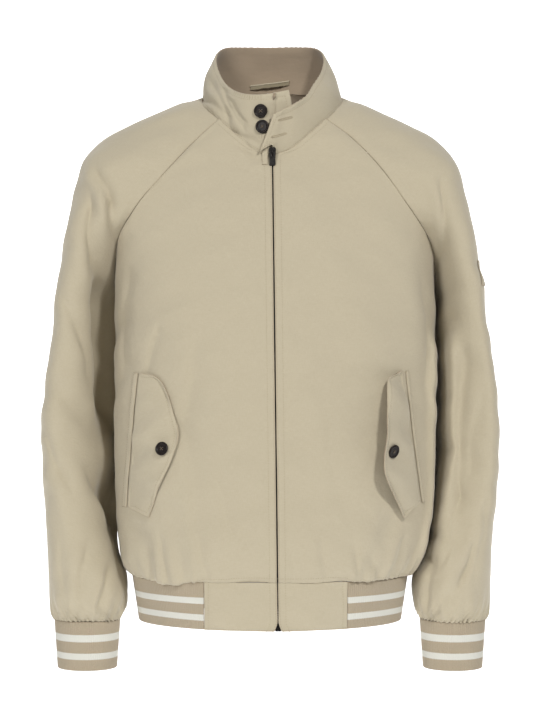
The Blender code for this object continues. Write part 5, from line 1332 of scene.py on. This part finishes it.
def make_patch():
    sleeve = Surface(pieces["sleeve_front_left_cloth"], facing=(1, -1, 0))
    grid = []
    for z in PATCH_LEVELS[0] + (PATCH_LEVELS[1] - PATCH_LEVELS[0]) * shares_of(0.032, 14):
        grid.append([])
        for angle in np.radians(PATCH_ANGLES[0] + (PATCH_ANGLES[1] - PATCH_ANGLES[0]) * shares_of(0.024, 12)):
            way = np.array([math.sin(angle), -math.cos(angle), 0])
            grid[-1].append(sleeve.seen(np.array([PATCH_MIDDLE, 0, z]) + way, -way)[0])
    cloth = Cloth(grid, away=(1, -1, 0)).raise_by(LYING_GAP + PATCH_WALL)
    finish_cloth("sleeve_patch_cloth", cloth, PATCH_WALL, "sleeve_patch", roll=0.0008)


def make_loop():
    """The hanger loop: a folded strap that hangs a little slack between its ends. Its face is the jacket's
    cloth painted darker as its shade, and a tube in the cloth's plain colour runs along its top edge.
    """
    collar = Surface(pieces["collar_cloth"])
    (from_x, from_z), (to_x, to_z) = LOOP_ENDS
    grid = []
    for across in shares_of(LOOP_WIDTH, 6):
        grid.append([])
        for share in shares_of(0.053, 24):
            z = from_z + (to_z - from_z) * share + LOOP_WIDTH * (0.5 - across)
            place, normal = collar.seen((from_x + (to_x - from_x) * share, 0, z), (0, 1, 0))
            grid[-1].append(place + (LYING_GAP + LOOP_WALL + LOOP_SLACK * math.sin(math.pi * share)) * normal)
    loop = Cloth(grid)
    # Painted shade: the loop's face is the cloth darkened.
    finish_cloth("hanger_loop_cloth", loop, LOOP_WALL, "hanger_loop", finish=LOOP_SHADED_CLOTH, roll=0.0008)
    piping = tube(loop.line("first", 0.0004)[0], 0.0009)
    add_piece("hanger_loop_piping", piping, COTTON_CLOTH)


def make_guard():
    """The small folded guard of cloth beside the zip's top, on the right front."""
    front = Surface(pieces["front_right_cloth"])
    grid = []
    for share in shares_of(0.02, 14):
        z = GUARD_TOP + (GUARD_FOOT - GUARD_TOP) * share
        across = GUARD_FROM + (GUARD_TO - GUARD_FROM) * shares_of(0.0074, 8)
        grid.append([front.before(x, min(z, GUARD_CLEAR))[0] for x in across])
        for place in grid[-1]:
            place[2] = z
    cloth = Cloth(grid).raise_by(LYING_GAP + WELT_WALL)
    finish_cloth("zip_guard_cloth", cloth, WELT_WALL, roll=0.0008)


def curve_mesh(lines, closed, **settings):
    """The mesh of a curve along lines of points."""
    curve = bpy.data.curves.new("line", "CURVE")
    for name, value in settings.items():
        setattr(curve, name, value)
    for line in lines:
        spline = curve.splines.new("POLY")
        spline.points.add(len(line) - 1)
        for point, place in zip(spline.points, line):
            point.co = (*place, 1)
        spline.use_cyclic_u = closed
    return mesh_of(linked("line", curve))


def flat_shape(outline, thick, bevel=0.0, holes=()):
    """A flat solid in the XY plane from its outline, with holes, its edges eased."""
    lines = [[(a, b, 0) for a, b in corners] for corners in (outline, *holes)]
    return curve_mesh(lines, True, dimensions="2D", fill_mode="BOTH", extrude=thick / 2 - bevel,
                      bevel_depth=bevel, bevel_resolution=2)


def tube(points, radius):
    """A round thread or pin along points."""
    made = curve_mesh([points], False, dimensions="3D", bevel_depth=radius, bevel_resolution=2,
                      use_fill_caps=True)
    made.shade_smooth()
    return made


def turned(profile, steps=40):
    """A solid turned about Z from its profile of radius and height."""
    mesh = bpy.data.meshes.new("profile")
    mesh.from_pydata([(r, 0, h) for r, h in profile], [(i, i + 1) for i in range(len(profile) - 1)], [])
    holder = linked("profile", mesh)
    screw = holder.modifiers.new("turn", "SCREW")
    screw.steps = screw.render_steps = steps
    screw.use_merge_vertices, screw.merge_threshold = True, 0.00001
    made = mesh_of(holder)
    made.shade_smooth()
    return made


def joined(name, parts):
    """One mesh of several, each put in its place by a matrix."""
    total = bpy.data.meshes.new(name)
    points, faces, smooth = [], [], []
    for mesh, matrix in parts:
        count = len(points)
        points += [tuple(matrix @ v.co) for v in mesh.vertices]
        faces += [[count + v for v in face.vertices] for face in mesh.polygons]
        smooth += [face.use_smooth for face in mesh.polygons]
    total.from_pydata(points, [], faces)
    total.polygons.foreach_set("use_smooth", smooth)
    return total


def circle(radius, count, middle=(0.0, 0.0)):
    return [(middle[0] + radius * math.cos(t), middle[1] + radius * math.sin(t))
            for t in np.linspace(0, 2 * math.pi, count, endpoint=False)]


def oblong(half, top, foot):
    """The corners of a flat oblong that reaches `half` to each side."""
    return [(-half, top), (half, top), (half, foot), (-half, foot)]


# A button's rim in shares of its radius and thickness, and its disc.
RIM = ((0.60, 0.12), (0.60, 0.55), (0.66, 0.70), (0.76, 0.94), (0.84, 1), (0.92, 0.94), (1, 0.70), (1, 0.34),
       (0.94, 0.10), (0.78, 0), (0.60, 0.12))
DISC_RADIUS, DISC_THICKNESS, DISC_LEVEL = 0.62, 0.5, 0.35
HOLE_OUT, HOLE_RADIUS = 0.0016, 0.00085
STRAND_RADIUS, STRAND_ASIDE, STRAND_LEVEL = 0.00026, 0.00028, 0.66


def make_button(name, surface, x, z, *nodes):
    """A four-hole horn button with a raised rim, sewn on with crossed threads."""
    radius, thick = BUTTON_RADIUS, BUTTON_THICKNESS
    place, normal = surface.before(x, z)
    facing = Vector(normal).to_track_quat("Z", "Y").to_matrix().to_4x4()
    seat = Matrix.Translation(place + LYING_GAP * normal) @ facing
    holes = [circle(HOLE_RADIUS, 12, (a * HOLE_OUT, b * HOLE_OUT)) for a in (-1, 1) for b in (-1, 1)]
    disc = flat_shape(circle(DISC_RADIUS * radius, 40), DISC_THICKNESS * thick, 0.0001, holes)
    rim = turned([(out * radius, up * thick) for out, up in RIM])
    body = joined(name, [(disc, seat @ Matrix.Translation((0, 0, DISC_LEVEL * thick))), (rim, seat)])
    add_piece(name, body, HORN, *nodes, slot="button_horn")
    strands = []
    for a, b in ((1, 1), (1, -1)):
        for aside in (-STRAND_ASIDE, STRAND_ASIDE):
            first, last = (
                (sign * a * HOLE_OUT + aside * b, sign * b * HOLE_OUT - aside * a) for sign in (-1, 1)
            )
            top = STRAND_LEVEL * thick + 0.0002 * (a == b)
            strand = [(*first, 0.0002), (*first, top), (0.5 * first[0], 0.5 * first[1], top + 0.0003),
                      (0.5 * last[0], 0.5 * last[1], top + 0.0003), (*last, top), (*last, 0.0002)]
            strands.append((tube(strand, STRAND_RADIUS), seat))
    add_piece(f"{name}_thread", joined(f"{name}_thread", strands), DARK_THREAD, slot="button_horn")


def make_buttons():
    for arm, place in FLAP_BUTTONS.items():
        flap = Surface(pieces[f"pocket_flap_{arm}_cloth"])
        make_button(f"horn_button_{arm}", flap, *place, f"flap_button_{arm}")
    collar = Surface(pieces["collar_cloth"])
    for level, place in COLLAR_BUTTONS.items():
        make_button(f"horn_button_{level}", collar, *place, f"collar_button_{level}")


def make_zip():
    """Tapes and teeth behind the fronts, slider and pull in front, and the box at the foot."""
    fronts = Surface(*(pieces[f"{part}_{arm}_cloth"] for part in ("front", "hem_panel") for _, arm in ARMS))

    def at(z, x, deeper=0.0):
        """A place behind the fronts, its depth taken where they lie flat beside their edges."""
        aside = math.copysign(max(abs(x), ZIP_BESIDE), x)
        place, normal = fronts.before(zip_x(z) + aside, z)
        place = place - (ZIP_DEPTH + deeper) * normal
        place[0] = zip_x(z) + x
        return place, normal

    levels = np.linspace(TAPE_TOP, TAPE_FOOT, 120)
    inner, outer = TAPE_CORD, CHAIN_HALF_WIDTH + SEAM_GAP + TAPE_WIDTH
    teeth = []
    for side, arm in ARMS:
        across = (inner, TAPE_STEP[0], TAPE_STEP[1], (TAPE_STEP[1] + outer) / 2, outer)
        grid = [[at(z, side * x, CORD_DEEPER * (x <= TAPE_STEP[0]))[0] for x in across] for z in levels]
        finish_cloth(f"zip_tape_{arm}_weave", Cloth(grid), TAPE_WALL, f"zip_tape_{arm}", finish=TAPE,
                     slot="zip_tape", roll=0.0006)
        row = [at(z, side * TOOTH_ASIDE, CHAIN_WALL / 2)
               for z in np.linspace(CHAIN_TOP - side * TOOTH_OFFSET, CHAIN_FOOT, 300)]
        teeth.append((np.array([place for place, _ in row]), np.array([normal for _, normal in row])))
    made = worked(line_mesh("zip_teeth", teeth), BLOCKS, Pitch=TOOTH_PITCH, Size=TOOTH_SIZE, Finish=METAL)
    add_piece("zip_teeth", made, METAL, "zip_chain", slot="zip_metal")
    make_zip_box()
    make_slider()
    make_pull()


def upright(x, y, z):
    """Turns a flat shape in XY to stand in XZ, its face forward, and puts it in its place."""
    return Matrix.Translation((x, y, z)) @ Matrix.Rotation(math.radians(90), 4, "X")


def make_zip_box():
    x, half = zip_x(HEM_FOOT), 0.0034
    across = np.linspace(0, 1, 9)
    before = [hem_front_line(z, x - half, x + half, across) for z in (HEM_FOOT, HEM_FOOT + BOX_HEIGHT)]
    face = np.array(before)[..., 1].max() + ZIP_DEPTH
    outline = [(-half, 0.0006), (-half + 0.0006, 0), (half - 0.0006, 0), (half, 0.0006), (half, 0.0080),
               (half - 0.001, 0.0088), (-half + 0.001, 0.0088), (-half, 0.0080)]
    box = flat_shape(outline, 0.0032, 0.0003)
    pin = tube([(0.0012, 0.0010, 0), (0.0012, 0.0118, 0)], 0.0008)
    slot = flat_shape(oblong(0.0002, 0.001, 0.008), 0.0036)
    seat = upright(x, face + 0.0016, HEM_FOOT)
    made = joined("zip_box_metal", [(box, seat), (pin, seat), (slot, seat)])
    add_piece("zip_box_metal", made, METAL, "zip_box", slot="zip_metal")


SLIDER_HALF = ((0.0026, 0.0063), (0.0037, 0.0052), (0.0041, 0.0034), (0.0038, 0.0), (0.0035, -0.0062),
               (0.0026, -0.0078))
SLIDER_RIDGE = ((-0.0016, 0.0048), (0.0016, 0.0048), (0.0014, -0.0066), (-0.0014, -0.0066))
SLIDER_ARCH = (  # how far out from the plate, and how far up
    (-0.0003, 0.003), (0.0021, 0.003), (0.003, 0.0018), (0.003, -0.0018), (0.0021, -0.003), (-0.0003, -0.003),
)


def make_slider():
    """The slider's plate, its neck between the fronts and the arch that carries the pull."""
    x, front = zip_x(SLIDER_LEVEL), SLIDER_BACK - SLIDER_PLATE
    plate = [*SLIDER_HALF, *((-a, b) for a, b in reversed(SLIDER_HALF))]
    body = flat_shape(plate, SLIDER_PLATE, 0.0004)
    ridge = flat_shape(SLIDER_RIDGE, 0.0006, 0.0002)
    arch = tube([(x, front - out, SLIDER_LEVEL + up) for out, up in SLIDER_ARCH], 0.0006)
    neck_post = flat_shape(oblong(0.00075, 0.0, -0.006), 0.0050, 0.0002)
    made = joined("zip_slider_metal", [
        (body, upright(x, front + SLIDER_PLATE / 2, SLIDER_LEVEL)),
        (ridge, upright(x, front + 0.0001, SLIDER_LEVEL)), (arch, Matrix.Identity(4)),
        (neck_post, upright(x, SLIDER_BACK + 0.0022, SLIDER_LEVEL - 0.002)),
    ])
    add_piece("zip_slider_metal", made, METAL, "zip_slider", slot="zip_metal")


def make_pull():
    """The pull tab, with an eye round the slider's arch and a rivet."""
    half, thick = 0.0036, 0.0011
    corner, length = 0.0009, PULL_LENGTH
    outline = [
        (corner - half, 0.0002), (half - corner, 0.0002), (half, -0.0004), (half - 0.0003, -0.5 * length),
        (half, corner - length), (half - corner, -length), (corner - half, -length), (-half, corner - length),
        (0.0003 - half, -0.5 * length), (-half, -0.0004),
    ]
    tab = flat_shape(outline, thick, 0.0003, [oblong(0.0013, -0.0006, -0.0048)])
    inset = oblong(0.0019, -0.0071, -length + 0.0021)
    raised = flat_shape(oblong(0.0024, -0.0066, -length + 0.0016), thick + 0.0003, 0.0001, [inset])
    rivet = turned(((0, 0.0012), (0.0008, 0.0011), (0.0012, 0.0007), (0.0013, 0), (0, 0)), 20)
    pivot = (zip_x(SLIDER_LEVEL), SLIDER_BACK - SLIDER_PLATE - PIVOT_STANDOFF, SLIDER_LEVEL)
    lean, standing = (Matrix.Rotation(math.radians(turn), 4, "X") for turn in (-PULL_LEAN, 90))
    hang = Matrix.Translation(pivot) @ lean @ standing
    made = joined("zip_pull_metal", [
        (tab, hang), (raised, hang), (rivet, hang @ Matrix.Translation((0, -0.0060, 0.0003)))
    ])
    add_piece("zip_pull_metal", made, METAL, "zip_pull", slot="zip_metal", body=PULL)


# ---------------------------------------------------------------------------------------------- topstitching


PART_OF_RAGLAN = (0.7, 0.985)  # the rows of a body panel along which its raglan seam is topstitched
TICKS_ALONG, TICKS_LEVEL = (-0.0135, -0.0105, -0.0070), -0.0575
EDGE_TICKS_INSET, EDGE_TICKS_ACROSS, EDGE_TICKS_BEFORE = 0.0036, (-0.046, -0.009), -0.06
BUTTONHOLES = ((0.0111, -0.0383, 0.0271, -0.0339), (0.0025, -0.0592, 0.0197, -0.0537))
BUTTONHOLE_ASIDE, BUTTONHOLE_END = 0.0009, 0.0011


def buttonhole(surface, from_x, from_z, to_x, to_z):
    """A worked buttonhole: the oblong line that its close stitches lie across."""
    start, end = np.array([(from_x, from_z), (to_x, to_z)])
    ahead = unit(end - start)
    aside = np.array([-ahead[1], ahead[0]]) * BUTTONHOLE_ASIDE
    ahead = BUTTONHOLE_END * ahead
    loop = [start + aside, end + aside, end + ahead, end - aside, start - aside, start - ahead, start + aside]
    flat = evenly(np.array([(a, b, 0) for a, b in loop]), np.linspace(0, 1, 60))
    return on_surface(surface, flat[:, :2])


def on_surface(surface, places):
    """Points and normals where a surface is seen at places across and up."""
    found = [surface.before(x, z) for x, z in places]
    return tuple(np.array(column) for column in zip(*found))


def around(cloth, inset, edges=EDGES):
    """Lines along the named edges, each stopping where it meets the next."""
    return [cloth.line(edge, inset, [other for other in edges if other != edge]) for edge in edges]


def make_stitches():
    for side, arm in ARMS:
        front, hem, welt = (cloths[f"{part}_{arm}_cloth"] for part in ("front", "hem_panel", "pocket_welt"))
        topstitch(
            f"stitches_front_{arm}", front.line("start", EDGE_STITCH), front.line("start", SECOND_STITCH),
            front.line("end", EDGE_STITCH, part=PART_OF_RAGLAN), front.line("first", RIB_STITCH),
        )
        zip_edge, rib_edge = ("end", "start") if side > 0 else ("start", "end")
        topstitch(
            f"stitches_hem_{arm}", hem.line(zip_edge, EDGE_STITCH), hem.line(zip_edge, SECOND_STITCH),
            hem.line(rib_edge, PANEL_RIB_STITCH), hem.line("last", PANEL_FOOT_STITCH),
        )
        flap = cloths[f"pocket_flap_{arm}_cloth"]
        topstitch(f"stitches_flap_{arm}", *around(flap, FLAP_STITCH, ("first", "end", "last")))
        welted = [welt.line(edge, WELT_STITCH) for edge in ("end", "first", "last")]
        topstitch(f"stitches_welt_{arm}", *welted)
        lines = []
        for half in ("front", "back"):
            sleeve = cloths[f"sleeve_{half}_{arm}_cloth"]
            lines += [sleeve.line("last", CUFF_STITCH), sleeve.line("start", EDGE_STITCH)]
        topstitch(f"stitches_sleeve_{arm}", *lines)
    back, collar = cloths["back_cloth"], cloths["collar_cloth"]
    topstitch("stitches_back", back.line("first", RIB_STITCH),
              *(back.line(edge, EDGE_STITCH, part=PART_OF_RAGLAN) for edge in ("start", "end")))
    topstitch("stitches_collar", collar.line("last", COLLAR_STITCH, ("start", "end")),
              *(collar.line(edge, COLLAR_STITCH, ("last",)) for edge in ("start", "end")),
              collar.line("first", EDGE_STITCH + COLLAR_TUCK))
    topstitch("stitches_patch", *around(cloths["sleeve_patch_cloth"], EDGE_STITCH))
    surface = Surface(pieces["collar_cloth"])
    topstitch("buttonholes", *(buttonhole(surface, *ends) for ends in BUTTONHOLES), pitch=0.00075,
              size=(0.00045, 0.0020, 0.0005))
    topstitch("button_tacks", on_surface(surface, [(x, TICKS_LEVEL) for x in TICKS_ALONG]), pitch=0.0026,
              size=(0.0005, 0.0070, 0.0004))
    points, normals = collar.line("last", EDGE_TICKS_INSET)
    (low, high), before = EDGE_TICKS_ACROSS, EDGE_TICKS_BEFORE
    shown = (points[:, 0] > low) & (points[:, 0] < high) & (points[:, 1] < before)
    topstitch("collar_edge_ticks", (points[shown], normals[shown]), pitch=0.0036,
              size=(0.0006, 0.0056, 0.0004))


# ------------------------------------------------------------------------------------ cuts, stage and camera


# How each sheet is held, what it rests on and which small pieces are sewn to it.
HELD = {
    "front_right_cloth": ("hung", ["collar_cloth"], ["stitches_front_right", "pocket_welt_right_cloth",
                                                     "stitches_welt_right", "zip_guard_cloth"]),
    "front_left_cloth": ("hung", ["collar_cloth"], ["stitches_front_left", "pocket_welt_left_cloth",
                                                    "stitches_welt_left"]),
    "back_cloth": ("hung", ["collar_cloth"], ["stitches_back"]),
    "sleeve_front_right_cloth": ("hung", ["collar_cloth"], ["stitches_sleeve_right"]),
    "sleeve_front_left_cloth": ("hung", ["collar_cloth"], ["stitches_sleeve_left"]),
    "sleeve_back_right_cloth": ("hung", ["collar_cloth"], []),
    "sleeve_back_left_cloth": ("hung", ["collar_cloth"], []),
    "waist_rib_knit": ("stretched", ["back_cloth", "front_right_cloth", "front_left_cloth"], []),
    "cuff_right_knit": ("stretched", ["sleeve_front_right_cloth", "sleeve_back_right_cloth"], []),
    "cuff_left_knit": ("stretched", ["sleeve_front_left_cloth", "sleeve_back_left_cloth"], []),
    "hem_panel_right_cloth": ("hung", ["front_right_cloth"], ["stitches_hem_right"]),
    "hem_panel_left_cloth": ("hung", ["front_left_cloth"], ["stitches_hem_left"]),
    "collar_cloth": ("folded", ["back_cloth", "front_right_cloth", "front_left_cloth"], [
        "stitches_collar", "buttonholes", "button_tacks", "collar_edge_ticks", "hanger_loop_cloth",
        "hanger_loop_piping",
    ]),
    "pocket_flap_right_cloth": ("laid", ["front_right_cloth"], ["stitches_flap_right"]),
    "pocket_flap_left_cloth": ("laid", ["front_left_cloth"], ["stitches_flap_left"]),
    "sleeve_patch_cloth": ("laid", ["sleeve_front_left_cloth"], ["stitches_patch"]),
    "zip_tape_right_weave": ("hung", ["front_right_cloth"], []),
    "zip_tape_left_weave": ("hung", ["front_left_cloth"], []),
}


def declare_sheets():
    """The flat cut of each piece of cloth that shows: width, length and area."""
    for name, (held, rests_on, sewn_on) in HELD.items():
        points = cloths[name].points
        first = points[1:, 1:] - points[:-1, :-1]
        second = points[1:, :-1] - points[:-1, 1:]
        area = float(np.linalg.norm(np.cross(first, second), axis=2).sum() / 2)
        cut = (float(cloths[name].along[:, -1].max()), float(cloths[name].up[-1].max()))
        print("sheet", name, [round(size, 4) for size in cut], round(area, 5))
        [bpy.data.objects[piece] for piece in sewn_on]
        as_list(rests_on)


FLOOR, BACKDROP, BEND = -1.30, 2.2, 0.8
LAMPS = (  # name, place, size, power
    ("key", (1.3, -2.9, 1.6), 0.35, 68),
    ("fill", (-1.5, -2.8, 0.8), 1.0, 46),
    ("top", (0.3, -0.4, 2.6), 1.6, 4),
)
SKY_STRENGTH, FLOOR_GLOW, FLOOR_WHITE = 0.18, 0.80, (0.86, 0.86, 0.86)
JACKET_MIDDLE, CAMERA_AT = (0, 0, -0.33), (0, -2.6, -0.334)
SENSOR = 36  # mm wide
FOCUS, PICTURE_HEIGHT = 2025, 720  # in picture points


def make_stage():
    """A plain pale floor and backdrop, soft studio lights and a level camera in front."""
    scene = bpy.context.scene
    stage = Finish("studio_white", 0.9, **{"Emission Color": (1, 1, 1, 1), "Emission Strength": FLOOR_GLOW})
    stage.finish(FLOOR_WHITE)
    bends = np.linspace(0, math.pi / 2, 12)[1:]
    profile = [(-1.2, FLOOR), (BACKDROP, FLOOR)]
    profile += [(BACKDROP + BEND * math.sin(t), FLOOR + BEND - BEND * math.cos(t)) for t in bends]
    profile += [(BACKDROP + BEND, 3.5)]
    mesh = bpy.data.meshes.new("studio_sweep")
    count = len(profile)
    mesh.from_pydata([(x, y, z) for x in (-5, 5) for y, z in profile], [],
                     [(k, count + k, count + k + 1, k + 1) for k in range(count - 1)])
    mesh.shade_smooth()
    mesh.materials.append(stage.made)
    linked("studio_sweep", mesh)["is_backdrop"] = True
    scene.world = bpy.data.worlds.new("studio")
    scene.world.use_nodes = True
    colour, strength = scene.world.node_tree.nodes["Background"].inputs[:2]
    colour.default_value, strength.default_value = (1, 1, 1, 1), SKY_STRENGTH
    for name, place, size, power in LAMPS:
        lamp = bpy.data.lights.new(name, "AREA")
        lamp.size, lamp.energy = size, power
        holder = linked(name, lamp)
        holder.location, holder.rotation_mode = place, "QUATERNION"
        holder.rotation_quaternion = (Vector(JACKET_MIDDLE) - Vector(place)).to_track_quat("-Z", "Y")
    lens = bpy.data.cameras.new("camera")
    lens.sensor_width, lens.lens, lens.clip_end = SENSOR, SENSOR * FOCUS / PICTURE_HEIGHT, 50
    scene.camera = linked("camera", lens)
    scene.camera.location, scene.camera.rotation_euler = CAMERA_AT, (math.radians(90), 0, 0)
    scene.view_settings.view_transform = "Standard"


make_panels()
make_hem()
make_cuffs()
make_collar()
make_pockets()
make_patch()
make_loop()
make_guard()
make_buttons()
make_zip()
make_stitches()
declare_sheets()
make_stage()

boxes = {"cad": cad_box, "visual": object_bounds()}
{name: [list(corner) for corner in box] for name, box in boxes.items()}
